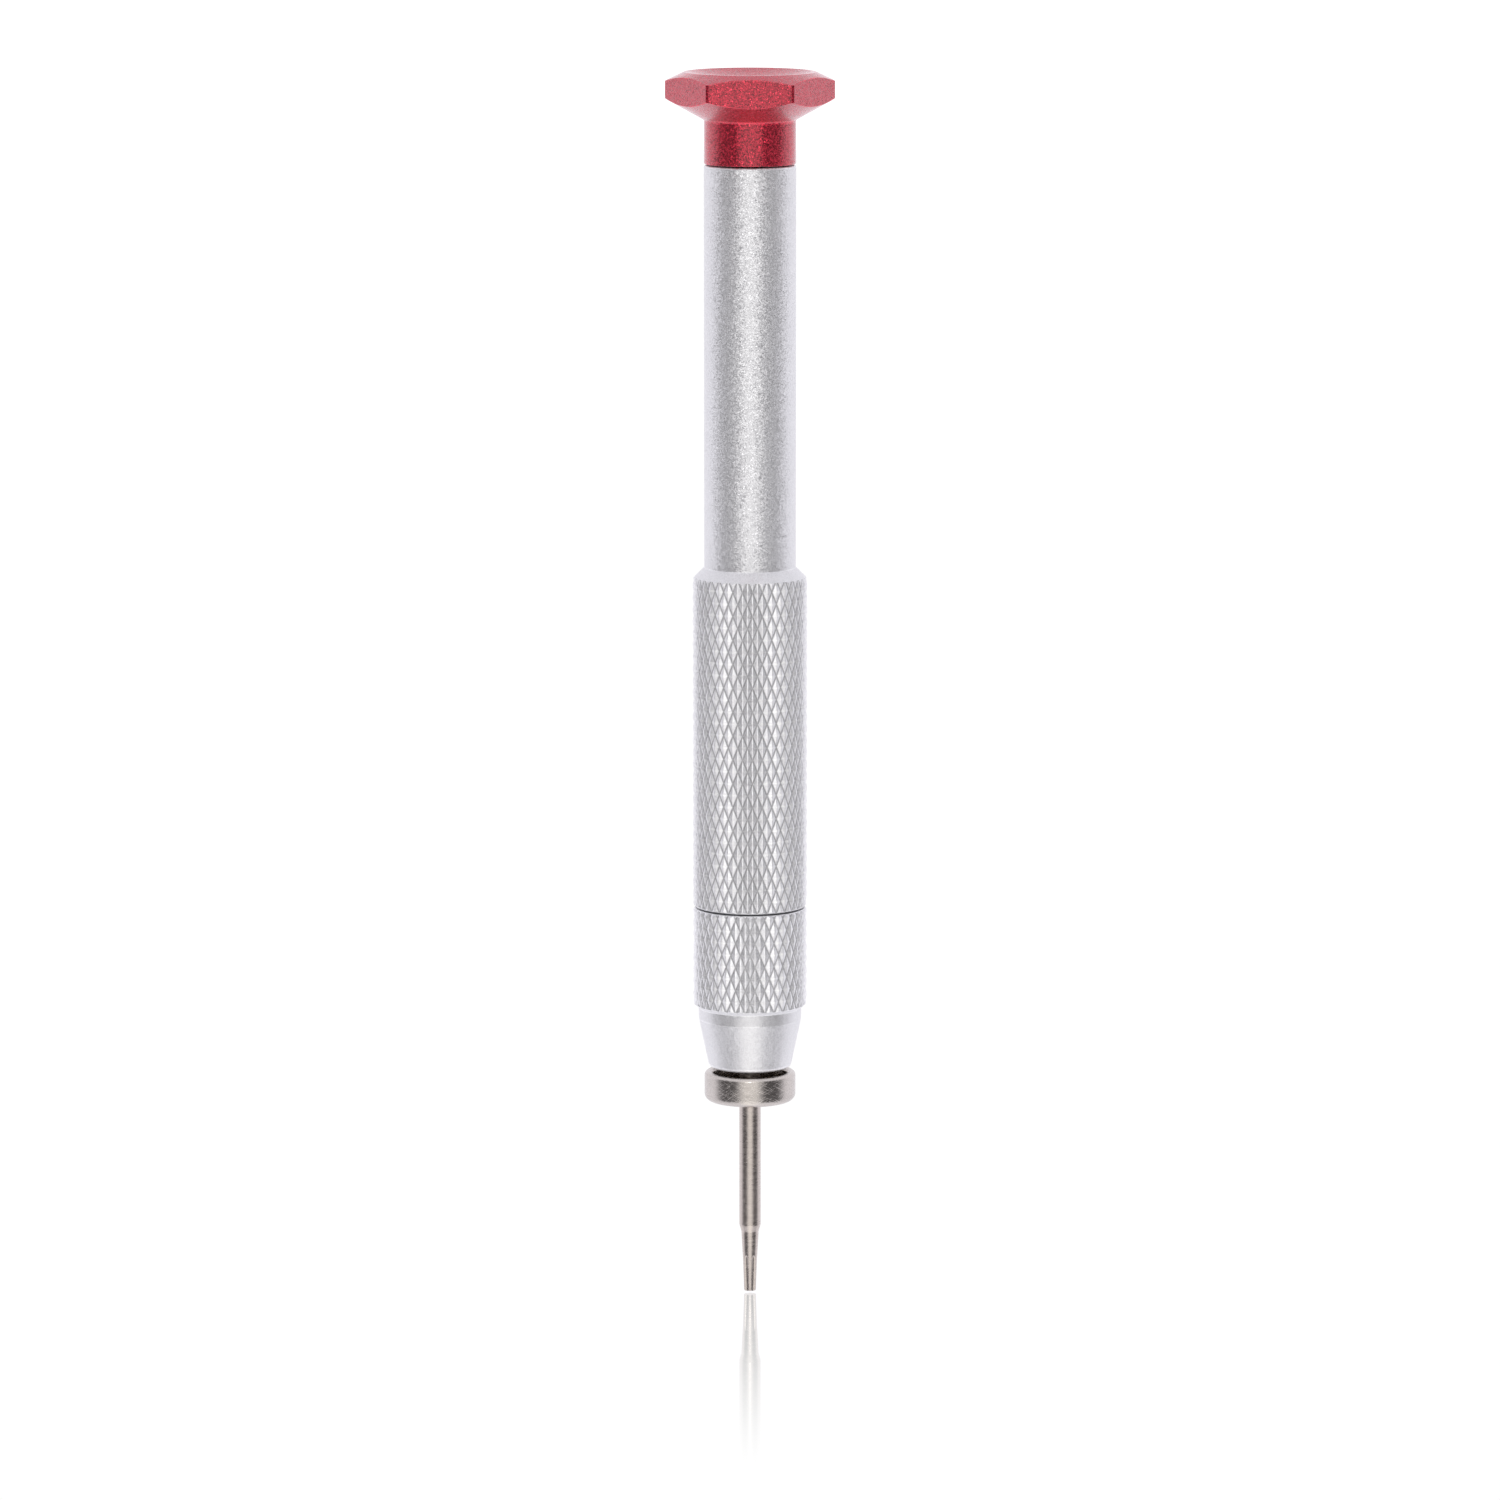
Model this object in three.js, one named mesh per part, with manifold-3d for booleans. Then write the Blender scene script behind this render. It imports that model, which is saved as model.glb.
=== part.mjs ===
// Watchmaker's screwdriver with a free-turning cap, a knurled handle and a collet chuck.
// Units are millimetres. The driver stands on its blade tip: +Z runs up the axis to the cap,
// and the origin is the centre of the blade's end face.
import * as THREE from "three";
import * as BufferGeometryUtils from "three/addons/utils/BufferGeometryUtils.js";
import Module from "manifold-3d";

const wasm = await Module();
wasm.setup();

const TURN = 2 * Math.PI;

// Clearances
const RUNNING_GAP = 0.05;      // between pieces that turn or slide on each other
const FIXED_GAP = 0.015;       // between pieces that are pressed together
const SMALL_CHAMFER = 0.12;

// Facets round the axis
const SIDES = 48;
const SHAFT_SIDES = 36;
const SMALL_SIDES = 24;
const CAP_SIDES = 60;
const BEARING_SIDES = 30;

// Cap
const CAP_TOP_Z = 118.075;
const CAP_DISC_TOP_Z = 117.226;
const CAP_DISC_BOTTOM_Z = 115.555;
const CAP_CONE_BOTTOM_Z = 113.56;
const CAP_BOTTOM_Z = 109.369;
const CAP_DISC_RADIUS = 8.05;
const CAP_RIM_RADIUS = 6.25;
const CAP_RIM_WIDTH = 0.25;
const CAP_DISH_DEPTH = 1.15;
const CAP_ACROSS_FLATS = 14.09;
const CAP_NECK_RADIUS = 4.37;
const CAP_NECK_FILLET = 0.35;
const CAP_CONE_DEGREES = 29;   // the underside's slope
const CAP_FLATS = 6;

// Bearing in the cap: 3 mm bore, 7 mm outside, 3 mm wide
const BEARING_BORE_RADIUS = 1.5;
const BEARING_OUTER_RADIUS = 3.5;
const BEARING_WIDTH = 3;
const BEARING_BOTTOM_Z = 110;
const BEARING_TOP_Z = BEARING_BOTTOM_Z + BEARING_WIDTH;
const BEARING_MID_Z = BEARING_BOTTOM_Z + BEARING_WIDTH / 2;
const BALL_COUNT = 7;
const BALL_SIDES = 10;
const BALL_BANDS = 7;
const BALL_RADIUS = 0.6;
const BALL_CIRCLE_RADIUS = (BEARING_BORE_RADIUS + BEARING_OUTER_RADIUS) / 2;
const RACE_GROOVE_RADIUS = 0.66;
const GROOVE_STEPS = 6;
const RACE_LIP = 0.38;         // from the ball circle to each race's lip
const SHIELD_THICKNESS = 0.22;
const SHIELD_INSET = 0.1;
const CAGE_HALF_WIDTH = 0.18;
const CAGE_SIDES_PER_BALL = 4;
const CAGE_TOP_Z = BEARING_MID_Z + 1.05;
const CAGE_BOTTOM_Z = BEARING_MID_Z - 0.3;
const CAGE_POCKET_RADIUS = BALL_RADIUS + RUNNING_GAP;

// Pivot screw
const SCREW_HEAD_RADIUS = 1.95;
const SCREW_HEAD_HEIGHT = 0.85;
const SCREW_HEAD_ROOM = 0.6;
const SCREW_THREAD_RADIUS = 1.23;
const SCREW_BOTTOM_Z = 102.5;
const SCREW_HOLE_SPARE = 0.5;
const SCREW_SLOT_WIDTH = 0.45;
const SCREW_SLOT_DEPTH = 0.4;

// Barrel
const BARREL_TOP_Z = 109.235;
const BARREL_SHOULDER_TOP_Z = 70.832;
const GRIP_TOP_Z = 69.723;
const GRIP_BOTTOM_Z = 37.98;
const BARREL_RADIUS = 4.38;
const GRIP_RADIUS = 5.5;
const GRIP_CHAMFER = 0.24;
const SPIGOT_RADIUS = 3.45;
const SPIGOT_BOTTOM_Z = 30.5;
const SPRING_CHAMBER_TOP_Z = 44;
const STEM_STOP_Z = 48.2;
const DRILL_POINT = 0.6;       // depth of a drilled hole's cone, for each unit of radius

// Chuck nut
const NUT_TOP_Z = 37.83;
const NUT_KNURL_BOTTOM_Z = 28.516;
const NOSE_CYLINDER_TOP_Z = 28.054;
const NOSE_CYLINDER_TOP_RADIUS = 4.96;
const NOSE_CONE_TOP_Z = 26.943;
const NOSE_CONE_TOP_RADIUS = 4.93;
const NOSE_CONE_BOTTOM_Z = 22.52;
const NOSE_CONE_BOTTOM_RADIUS = 4.0;
const NOSE_END_Z = 22.198;
const NOSE_ROUNDING = 0.4;
const NUT_THREAD_BOTTOM_Z = 30;

// Friction ring in the nut's top face
const RING_SECTION_RADIUS = 0.36;
const RING_CIRCLE_RADIUS = 4.3;
const RING_SECTION_SIDES = 8;
const RING_CLEARANCE = 0.02;
const RING_SEAT_HALF_WIDTH = 0.42;

// Collet
const COLLET_END_Z = 21.95;
const COLLET_MOUTH_RADIUS = 2.2;
const COLLET_CONE_TOP_Z = 26.5;
const COLLET_BODY_RADIUS = 2.6;
const COLLET_BODY_TOP_Z = 33.5;
const COLLET_STEM_RADIUS = 1.58;
const COLLET_STEM_TOP_Z = 48;
const COLLET_SLOT_WIDTH = 0.36;
const COLLET_SLOT_TOP_Z = 31.4;
const COLLET_BORE_TOP_Z = 38.6;

// Spring round the collet's stem
const SPRING_WIRE_RADIUS = 0.24;
const SPRING_COIL_RADIUS = 2.12;
const SPRING_TURNS = 6;
const SPRING_WIRE_SIDES = 6;
const SPRING_STEPS_PER_TURN = 12;

// Blade
const SHAFT_RADIUS = 1.035;
const SHAFT_TOP_Z = 38.4;
const SHAFT_STEP_TOP_Z = 6.56;
const TIP_TAPER_TOP_Z = 5.9;
const TIP_TAPER_TOP_RADIUS = 0.84;
const STAR_TOP_Z = 3.49;
const STAR_TOP_RADIUS = 0.71;
const TIP_RADIUS = 0.62;
const TIP_BEVEL = 0.1;
const LOBE_COUNT = 6;
const FLUTE_RADIUS = 0.33;      // of the round cutter that forms each flute
const FLUTE_ROOT_RADIUS = 0.45; // from the axis to the flute's floor at the tip
const FLUTE_SLOPE = 0.053;      // how fast the floor moves outwards, up the blade
const FLUTE_POINT_HEIGHT = 0.6;
const FLUTE_OVERRUN = 0.5;
const FLUTE_SIDES = 18;

// Collar on the blade
const COLLAR_RADIUS = 4.39;
const COLLAR_TOP_Z = 21.744;
const COLLAR_BOTTOM_Z = 18.874;
const COLLAR_RECESS_RADIUS = 3.57;
const COLLAR_RECESS_FLOOR_Z = 19.9;
const COLLAR_RIM_ROUNDING = (COLLAR_RADIUS - COLLAR_RECESS_RADIUS) / 2;
const COLLAR_BOTTOM_ROUNDING = 0.7;

// Finishes
const FINISHES = {
  blastedSteel: { color: 0xd2d2d6, roughness: 0.42, metalness: 1 },
  redAnodised: { color: 0xb3303c, roughness: 0.45, metalness: 0.9 },
  nickel: { color: 0xc9c5c0, roughness: 0.22, metalness: 1 },
  bladeSteel: { color: 0xc4bcb6, roughness: 0.25, metalness: 1 },
  brass: { color: 0xb08a4a, roughness: 0.35, metalness: 1 },
  blackRubber: { color: 0x16161a, roughness: 0.7, metalness: 0 },
  bearingSteel: { color: 0xbfc2c6, roughness: 0.15, metalness: 1 },
  cageBronze: { color: 0x9c7440, roughness: 0.4, metalness: 1 },
  springSteel: { color: 0x9a9ca0, roughness: 0.3, metalness: 1 },
};

const driver = new THREE.Group();

/** One point of a turned outline: distance from the axis, and height. */
const at = (radius, z) => new THREE.Vector2(radius, z);

/** Points of an arc about (radius, z), from one angle to another in degrees, 0 pointing outwards. */
function arc(radius, z, arcRadius, fromDegrees, toDegrees, steps) {
  const points = [];
  for (let i = 0; i <= steps; i += 1) {
    const angle = THREE.MathUtils.degToRad(fromDegrees + ((toDegrees - fromDegrees) * i) / steps);
    points.push(at(radius + arcRadius * Math.cos(angle), z + arcRadius * Math.sin(angle)));
  }
  return points;
}

/** Closes a ring's outline on its own first point. */
const closed = (points) => [...points, points[0].clone()];

/** Position-only copy of a geometry with shared vertices merged. */
function bare(geometry) {
  const copy = geometry.clone();
  copy.deleteAttribute("normal");
  copy.deleteAttribute("uv");
  return BufferGeometryUtils.mergeVertices(copy, 1e-5);
}

/** Outline turned about the Z axis; its points run up the outside and down the inside. */
function turned(outline, sides = SIDES) {
  const geometry = new THREE.LatheGeometry(outline, sides);
  geometry.rotateX(Math.PI / 2);
  return bare(geometry);
}

/** Solid for joining and cutting, from a closed geometry. */
function toSolid(geometry) {
  const merged = bare(geometry);
  const mesh = new wasm.Mesh({
    numProp: 3,
    vertProperties: new Float32Array(merged.attributes.position.array),
    triVerts: new Uint32Array(merged.index.array),
  });
  return new wasm.Manifold(mesh);
}

/** Geometry of a solid that was joined or cut. */
function fromSolid(solid) {
  const mesh = solid.getMesh();
  const geometry = new THREE.BufferGeometry();
  geometry.setAttribute("position", new THREE.BufferAttribute(mesh.vertProperties, 3));
  geometry.setIndex(new THREE.BufferAttribute(mesh.triVerts, 1));
  return geometry;
}

/** Adds a named piece with its finish to the driver. */
function add(name, geometry, finishName) {
  const mesh = new THREE.Mesh(geometry, new THREE.MeshStandardMaterial(FINISHES[finishName]));
  mesh.name = name;
  driver.add(mesh);
  return mesh;
}

/** Box between two heights, centred on the axis. */
function axialBox(width, depth, bottomZ, topZ) {
  const box = new THREE.BoxGeometry(width, depth, topZ - bottomZ);
  return box.translate(0, 0, (bottomZ + topZ) / 2);
}

/** Cap: a turned body with six flats, a finger dish, and a bore for the bearing. */
function makeCap() {
  const rimInner = CAP_RIM_RADIUS - CAP_RIM_WIDTH;
  const dishRadius = (rimInner ** 2 + CAP_DISH_DEPTH ** 2) / (2 * CAP_DISH_DEPTH);
  const dishHalfAngle = THREE.MathUtils.radToDeg(Math.asin(rimInner / dishRadius));
  const dishCentreZ = CAP_TOP_Z - CAP_DISH_DEPTH + dishRadius;
  const boreRadius = BEARING_OUTER_RADIUS + FIXED_GAP;
  const headRoomTopZ = BEARING_TOP_Z + SCREW_HEAD_HEIGHT + SCREW_HEAD_ROOM;
  const headRoomRadius = BALL_CIRCLE_RADIUS + RACE_LIP;
  const outline = [
    at(0, headRoomTopZ),
    at(headRoomRadius, headRoomTopZ),
    at(headRoomRadius, BEARING_TOP_Z + FIXED_GAP),
    at(boreRadius, BEARING_TOP_Z + FIXED_GAP),
    at(boreRadius, CAP_BOTTOM_Z),
    at(CAP_NECK_RADIUS - SMALL_CHAMFER, CAP_BOTTOM_Z),
    at(CAP_NECK_RADIUS, CAP_BOTTOM_Z + SMALL_CHAMFER),
    ...arc(CAP_NECK_RADIUS + CAP_NECK_FILLET, CAP_CONE_BOTTOM_Z - CAP_NECK_FILLET, CAP_NECK_FILLET,
      180, 90 + CAP_CONE_DEGREES, 3),
    at(CAP_DISC_RADIUS, CAP_DISC_BOTTOM_Z),
    at(CAP_DISC_RADIUS, CAP_DISC_TOP_Z),
    at(CAP_RIM_RADIUS, CAP_TOP_Z),
    ...arc(0, dishCentreZ, dishRadius, dishHalfAngle - 90, -90, 8),
  ];
  const flats = new THREE.CylinderGeometry(
    CAP_ACROSS_FLATS / Math.sqrt(3), CAP_ACROSS_FLATS / Math.sqrt(3), CAP_TOP_Z, CAP_FLATS);
  flats.rotateX(Math.PI / 2);
  flats.rotateZ(Math.PI / CAP_FLATS);
  flats.translate(0, 0, CAP_BOTTOM_Z + CAP_TOP_Z / 4);
  const body = toSolid(turned(outline, CAP_SIDES)).intersect(toSolid(flats));
  add("swivel_cap", fromSolid(body), "redAnodised");
}

/** Bearing race outline with a groove that opens towards the balls. */
function raceOutline(wallRadius, lipRadius) {
  const lip = Math.abs(BALL_CIRCLE_RADIUS - lipRadius);
  const halfAngle = THREE.MathUtils.radToDeg(Math.acos(lip / RACE_GROOVE_RADIUS));
  const outer = wallRadius > lipRadius;
  const facing = outer ? 0 : 180;
  const groove = arc(BALL_CIRCLE_RADIUS, BEARING_MID_Z, RACE_GROOVE_RADIUS,
    facing + halfAngle, facing - halfAngle, GROOVE_STEPS);
  const grooveSide = outer
    ? [at(lipRadius, BEARING_TOP_Z), ...groove, at(lipRadius, BEARING_BOTTOM_Z)]
    : [at(lipRadius, BEARING_BOTTOM_Z), ...groove, at(lipRadius, BEARING_TOP_Z)];
  const wallSide = outer
    ? [at(wallRadius, BEARING_BOTTOM_Z), at(wallRadius, BEARING_TOP_Z)]
    : [at(wallRadius, BEARING_TOP_Z), at(wallRadius, BEARING_BOTTOM_Z)];
  return closed([...wallSide, ...grooveSide]);
}

/** Flat ring between two radii and two heights. */
function ring(innerRadius, outerRadius, bottomZ, topZ, sides = SIDES) {
  return turned(closed([
    at(innerRadius, bottomZ),
    at(outerRadius, bottomZ),
    at(outerRadius, topZ),
    at(innerRadius, topZ),
  ]), sides);
}

/** Ball bearing: two races, two shields, a crown cage and its balls. */
function makeBearing() {
  const innerLip = BALL_CIRCLE_RADIUS - RACE_LIP;
  const outerLip = BALL_CIRCLE_RADIUS + RACE_LIP;
  const innerRace = turned(raceOutline(BEARING_BORE_RADIUS, innerLip), BEARING_SIDES);
  const outerRace = turned(raceOutline(BEARING_OUTER_RADIUS, outerLip), BEARING_SIDES);
  add("bearing_inner_race", innerRace, "bearingSteel");
  add("bearing_outer_race", outerRace, "bearingSteel");
  const shieldInner = innerLip + RUNNING_GAP;
  const shieldOuter = outerLip - 2 * FIXED_GAP;
  const upperZ = BEARING_TOP_Z - SHIELD_INSET;
  const lowerZ = BEARING_BOTTOM_Z + SHIELD_INSET;
  const upper = ring(shieldInner, shieldOuter, upperZ - SHIELD_THICKNESS, upperZ, BEARING_SIDES);
  const lower = ring(shieldInner, shieldOuter, lowerZ, lowerZ + SHIELD_THICKNESS, BEARING_SIDES);
  add("bearing_shield_upper", upper, "bearingSteel");
  add("bearing_shield_lower", lower, "bearingSteel");

  let cage = toSolid(ring(
    BALL_CIRCLE_RADIUS - CAGE_HALF_WIDTH, BALL_CIRCLE_RADIUS + CAGE_HALF_WIDTH,
    CAGE_BOTTOM_Z, CAGE_TOP_Z, BALL_COUNT * CAGE_SIDES_PER_BALL));
  for (let i = 0; i < BALL_COUNT; i += 1) {
    const angle = (TURN * i) / BALL_COUNT;
    const x = BALL_CIRCLE_RADIUS * Math.cos(angle);
    const y = BALL_CIRCLE_RADIUS * Math.sin(angle);
    const pocket = new THREE.SphereGeometry(CAGE_POCKET_RADIUS, BALL_SIDES, BALL_BANDS);
    pocket.rotateX(Math.PI / 2);
    cage = cage.subtract(toSolid(pocket.translate(x, y, BEARING_MID_Z)));
    const sphere = new THREE.SphereGeometry(BALL_RADIUS, BALL_SIDES, BALL_BANDS);
    const ball = add(`bearing_ball_${i + 1}`, bare(sphere.rotateX(Math.PI / 2)), "bearingSteel");
    ball.position.set(x, y, BEARING_MID_Z);
  }
  add("bearing_cage", fromSolid(cage), "cageBronze");
}

/** Pivot screw and the spacer that keeps the inner race clear of the barrel. */
function makePivot() {
  const shoulderRadius = BEARING_BORE_RADIUS - FIXED_GAP;
  const headBottomZ = BEARING_TOP_Z + FIXED_GAP;
  const headTopZ = headBottomZ + SCREW_HEAD_HEIGHT;
  const outline = [
    at(0, SCREW_BOTTOM_Z),
    at(SCREW_THREAD_RADIUS - SMALL_CHAMFER, SCREW_BOTTOM_Z),
    at(SCREW_THREAD_RADIUS, SCREW_BOTTOM_Z + SMALL_CHAMFER),
    at(SCREW_THREAD_RADIUS, BARREL_TOP_Z + FIXED_GAP),
    at(shoulderRadius, BARREL_TOP_Z + FIXED_GAP),
    at(shoulderRadius, headBottomZ),
    at(SCREW_HEAD_RADIUS, headBottomZ),
    at(SCREW_HEAD_RADIUS, headTopZ - SMALL_CHAMFER),
    at(SCREW_HEAD_RADIUS - SMALL_CHAMFER, headTopZ),
    at(0, headTopZ),
  ];
  const slot = axialBox(SCREW_SLOT_WIDTH, 3 * SCREW_HEAD_RADIUS, headTopZ - SCREW_SLOT_DEPTH, headTopZ + 1);
  const screw = toSolid(turned(outline, SMALL_SIDES)).subtract(toSolid(slot));
  add("pivot_screw", fromSolid(screw), "bladeSteel");
  const innerLip = BALL_CIRCLE_RADIUS - RACE_LIP;
  const spacer = ring(
    BEARING_BORE_RADIUS, innerLip, BARREL_TOP_Z + FIXED_GAP, BEARING_BOTTOM_Z - FIXED_GAP, SMALL_SIDES);
  add("bearing_spacer", spacer, "blastedSteel");
}

/** Barrel: slim neck, shoulder, grip, threaded spigot, and bores for the collet and the pivot screw. */
function makeBarrel() {
  const stemBoreRadius = COLLET_STEM_RADIUS + RUNNING_GAP;
  const chamberRadius = COLLET_BODY_RADIUS + RUNNING_GAP;
  const screwHoleRadius = SCREW_THREAD_RADIUS + FIXED_GAP;
  const screwHoleBottomZ = SCREW_BOTTOM_Z - SCREW_HOLE_SPARE;
  const outline = [
    at(0, STEM_STOP_Z + stemBoreRadius * DRILL_POINT),
    at(stemBoreRadius, STEM_STOP_Z),
    at(stemBoreRadius, SPRING_CHAMBER_TOP_Z),
    at(chamberRadius, SPRING_CHAMBER_TOP_Z),
    at(chamberRadius, SPIGOT_BOTTOM_Z),
    at(SPIGOT_RADIUS - GRIP_CHAMFER, SPIGOT_BOTTOM_Z),
    at(SPIGOT_RADIUS, SPIGOT_BOTTOM_Z + GRIP_CHAMFER),
    at(SPIGOT_RADIUS, GRIP_BOTTOM_Z),
    at(GRIP_RADIUS - GRIP_CHAMFER, GRIP_BOTTOM_Z),
    at(GRIP_RADIUS, GRIP_BOTTOM_Z + GRIP_CHAMFER),
    at(GRIP_RADIUS, GRIP_TOP_Z),
    at(BARREL_RADIUS, BARREL_SHOULDER_TOP_Z),
    at(BARREL_RADIUS, BARREL_TOP_Z - SMALL_CHAMFER),
    at(BARREL_RADIUS - SMALL_CHAMFER, BARREL_TOP_Z),
    at(screwHoleRadius, BARREL_TOP_Z),
    at(screwHoleRadius, screwHoleBottomZ),
    at(0, screwHoleBottomZ - screwHoleRadius * DRILL_POINT),
  ];
  add("barrel", turned(outline), "blastedSteel");
}

/** Chuck nut: knurled sleeve and conical nose, bored for the collet, the spigot and the friction ring. */
function makeNut() {
  const threadRadius = SPIGOT_RADIUS + RUNNING_GAP;
  const seatBottomZ = NUT_TOP_Z - 2 * RING_SECTION_RADIUS;
  const roundingAngle = THREE.MathUtils.radToDeg(
    Math.atan2(NOSE_CONE_TOP_RADIUS - NOSE_CONE_BOTTOM_RADIUS, NOSE_CONE_TOP_Z - NOSE_CONE_BOTTOM_Z));
  const outline = closed([
    at(COLLET_MOUTH_RADIUS + RUNNING_GAP, NOSE_END_Z),
    ...arc(NOSE_CONE_BOTTOM_RADIUS - NOSE_ROUNDING, NOSE_END_Z + NOSE_ROUNDING, NOSE_ROUNDING,
      -90, -roundingAngle, 4),
    at(NOSE_CONE_TOP_RADIUS, NOSE_CONE_TOP_Z),
    at(NOSE_CYLINDER_TOP_RADIUS, NOSE_CYLINDER_TOP_Z),
    at(GRIP_RADIUS, NUT_KNURL_BOTTOM_Z),
    at(GRIP_RADIUS, NUT_TOP_Z - GRIP_CHAMFER),
    at(GRIP_RADIUS - GRIP_CHAMFER, NUT_TOP_Z),
    at(RING_CIRCLE_RADIUS + RING_SEAT_HALF_WIDTH, NUT_TOP_Z),
    at(RING_CIRCLE_RADIUS + RING_SEAT_HALF_WIDTH, seatBottomZ),
    at(RING_CIRCLE_RADIUS - RING_SEAT_HALF_WIDTH, seatBottomZ),
    at(RING_CIRCLE_RADIUS - RING_SEAT_HALF_WIDTH, NUT_TOP_Z),
    at(threadRadius, NUT_TOP_Z),
    at(threadRadius, NUT_THREAD_BOTTOM_Z),
    at(COLLET_BODY_RADIUS + RUNNING_GAP, NUT_THREAD_BOTTOM_Z),
    at(COLLET_BODY_RADIUS + RUNNING_GAP, COLLET_CONE_TOP_Z),
  ]);
  add("chuck_nut", turned(outline), "blastedSteel");
}

/** Black friction ring that closes the joint between the nut and the grip. */
function makeFrictionRing() {
  const centreZ = GRIP_BOTTOM_Z - RING_CLEARANCE - RING_SECTION_RADIUS;
  const section = arc(RING_CIRCLE_RADIUS, centreZ, RING_SECTION_RADIUS, 0, 360, RING_SECTION_SIDES);
  add("chuck_o_ring", turned(section, SHAFT_SIDES), "blackRubber");
}

/** Collet: slotted jaws with an outside cone, a body, and a stem that the spring goes round. */
function makeCollet() {
  const boreRadius = SHAFT_RADIUS + RUNNING_GAP / 2;
  const outline = [
    at(0, COLLET_BORE_TOP_Z + boreRadius * DRILL_POINT),
    at(boreRadius, COLLET_BORE_TOP_Z),
    at(boreRadius, COLLET_END_Z),
    at(COLLET_MOUTH_RADIUS - SMALL_CHAMFER, COLLET_END_Z),
    at(COLLET_MOUTH_RADIUS, COLLET_END_Z + SMALL_CHAMFER),
    at(COLLET_MOUTH_RADIUS, NOSE_END_Z),
    at(COLLET_BODY_RADIUS, COLLET_CONE_TOP_Z),
    at(COLLET_BODY_RADIUS, COLLET_BODY_TOP_Z),
    at(COLLET_STEM_RADIUS, COLLET_BODY_TOP_Z),
    at(COLLET_STEM_RADIUS, COLLET_STEM_TOP_Z),
    at(0, COLLET_STEM_TOP_Z),
  ];
  const slot = axialBox(COLLET_SLOT_WIDTH, 3 * COLLET_BODY_RADIUS, COLLET_END_Z - 1, COLLET_SLOT_TOP_Z);
  const crossSlot = slot.clone().rotateZ(Math.PI / 2);
  const jaws = toSolid(turned(outline, SHAFT_SIDES)).subtract(toSolid(slot)).subtract(toSolid(crossSlot));
  add("collet", fromSolid(jaws), "brass");
}

/** Helix for the spring wire's centre line. */
class SpringHelix extends THREE.Curve {
  getPoint(t) {
    const angle = TURN * SPRING_TURNS * t;
    const bottomZ = COLLET_BODY_TOP_Z + 2 * SPRING_WIRE_RADIUS;
    const topZ = SPRING_CHAMBER_TOP_Z - 2 * SPRING_WIRE_RADIUS;
    const x = SPRING_COIL_RADIUS * Math.cos(angle);
    const y = SPRING_COIL_RADIUS * Math.sin(angle);
    return new THREE.Vector3(x, y, bottomZ + (topZ - bottomZ) * t);
  }
}

/** Compression spring that pushes the collet out of the barrel. */
function makeSpring() {
  const wire = new THREE.Shape();
  for (let i = 0; i < SPRING_WIRE_SIDES; i += 1) {
    const angle = (TURN * i) / SPRING_WIRE_SIDES;
    const x = SPRING_WIRE_RADIUS * Math.cos(angle);
    const y = SPRING_WIRE_RADIUS * Math.sin(angle);
    if (i === 0) {
      wire.moveTo(x, y);
    } else {
      wire.lineTo(x, y);
    }
  }
  wire.closePath();
  const geometry = new THREE.ExtrudeGeometry(wire, {
    steps: SPRING_TURNS * SPRING_STEPS_PER_TURN,
    bevelEnabled: false,
    extrudePath: new SpringHelix(),
  });
  add("collet_spring", bare(geometry), "springSteel");
}

/** Cutter for one flute of the star tip: a leaning round bar that runs out to a point. */
function fluteCutter(angle) {
  const outline = [
    at(0, -FLUTE_OVERRUN),
    at(FLUTE_RADIUS, -FLUTE_OVERRUN),
    at(FLUTE_RADIUS, STAR_TOP_Z - FLUTE_POINT_HEIGHT / 2),
    at(0, STAR_TOP_Z + FLUTE_POINT_HEIGHT / 2),
  ];
  const cutter = turned(outline, FLUTE_SIDES);
  cutter.rotateY(Math.atan(FLUTE_SLOPE));
  cutter.translate(FLUTE_ROOT_RADIUS + FLUTE_RADIUS, 0, 0);
  return cutter.rotateZ(angle);
}

/** Blade: round shaft, short cone, tapered six-lobe tip. */
function makeBlade() {
  const outline = [
    at(0, 0),
    at(TIP_RADIUS - TIP_BEVEL, 0),
    at(TIP_RADIUS, TIP_BEVEL),
    at(STAR_TOP_RADIUS, STAR_TOP_Z),
    at(TIP_TAPER_TOP_RADIUS, TIP_TAPER_TOP_Z),
    at(SHAFT_RADIUS, SHAFT_STEP_TOP_Z),
    at(SHAFT_RADIUS, SHAFT_TOP_Z - 2 * SMALL_CHAMFER),
    at(SHAFT_RADIUS - 2 * SMALL_CHAMFER, SHAFT_TOP_Z),
    at(0, SHAFT_TOP_Z),
  ];
  let blade = toSolid(turned(outline, SHAFT_SIDES));
  for (let i = 0; i < LOBE_COUNT; i += 1) {
    blade = blade.subtract(toSolid(fluteCutter((TURN * i) / LOBE_COUNT)));
  }
  add("blade", fromSolid(blade), "bladeSteel");
}

/** Collar: a shallow cup with a rounded rim, fixed on the blade under the nose. */
function makeCollar() {
  const rimRadius = COLLAR_RADIUS - COLLAR_RIM_ROUNDING;
  const rimZ = COLLAR_TOP_Z - COLLAR_RIM_ROUNDING;
  const outline = closed([
    at(SHAFT_RADIUS + FIXED_GAP, COLLAR_BOTTOM_Z),
    ...arc(COLLAR_RADIUS - COLLAR_BOTTOM_ROUNDING, COLLAR_BOTTOM_Z + COLLAR_BOTTOM_ROUNDING,
      COLLAR_BOTTOM_ROUNDING, -90, 0, 4),
    ...arc(rimRadius, rimZ, COLLAR_RIM_ROUNDING, 0, 180, 6),
    at(COLLAR_RECESS_RADIUS, COLLAR_RECESS_FLOOR_Z),
    at(SHAFT_RADIUS + FIXED_GAP, COLLAR_RECESS_FLOOR_Z),
  ]);
  add("blade_collar", turned(outline, SHAFT_SIDES), "nickel");
}

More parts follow.
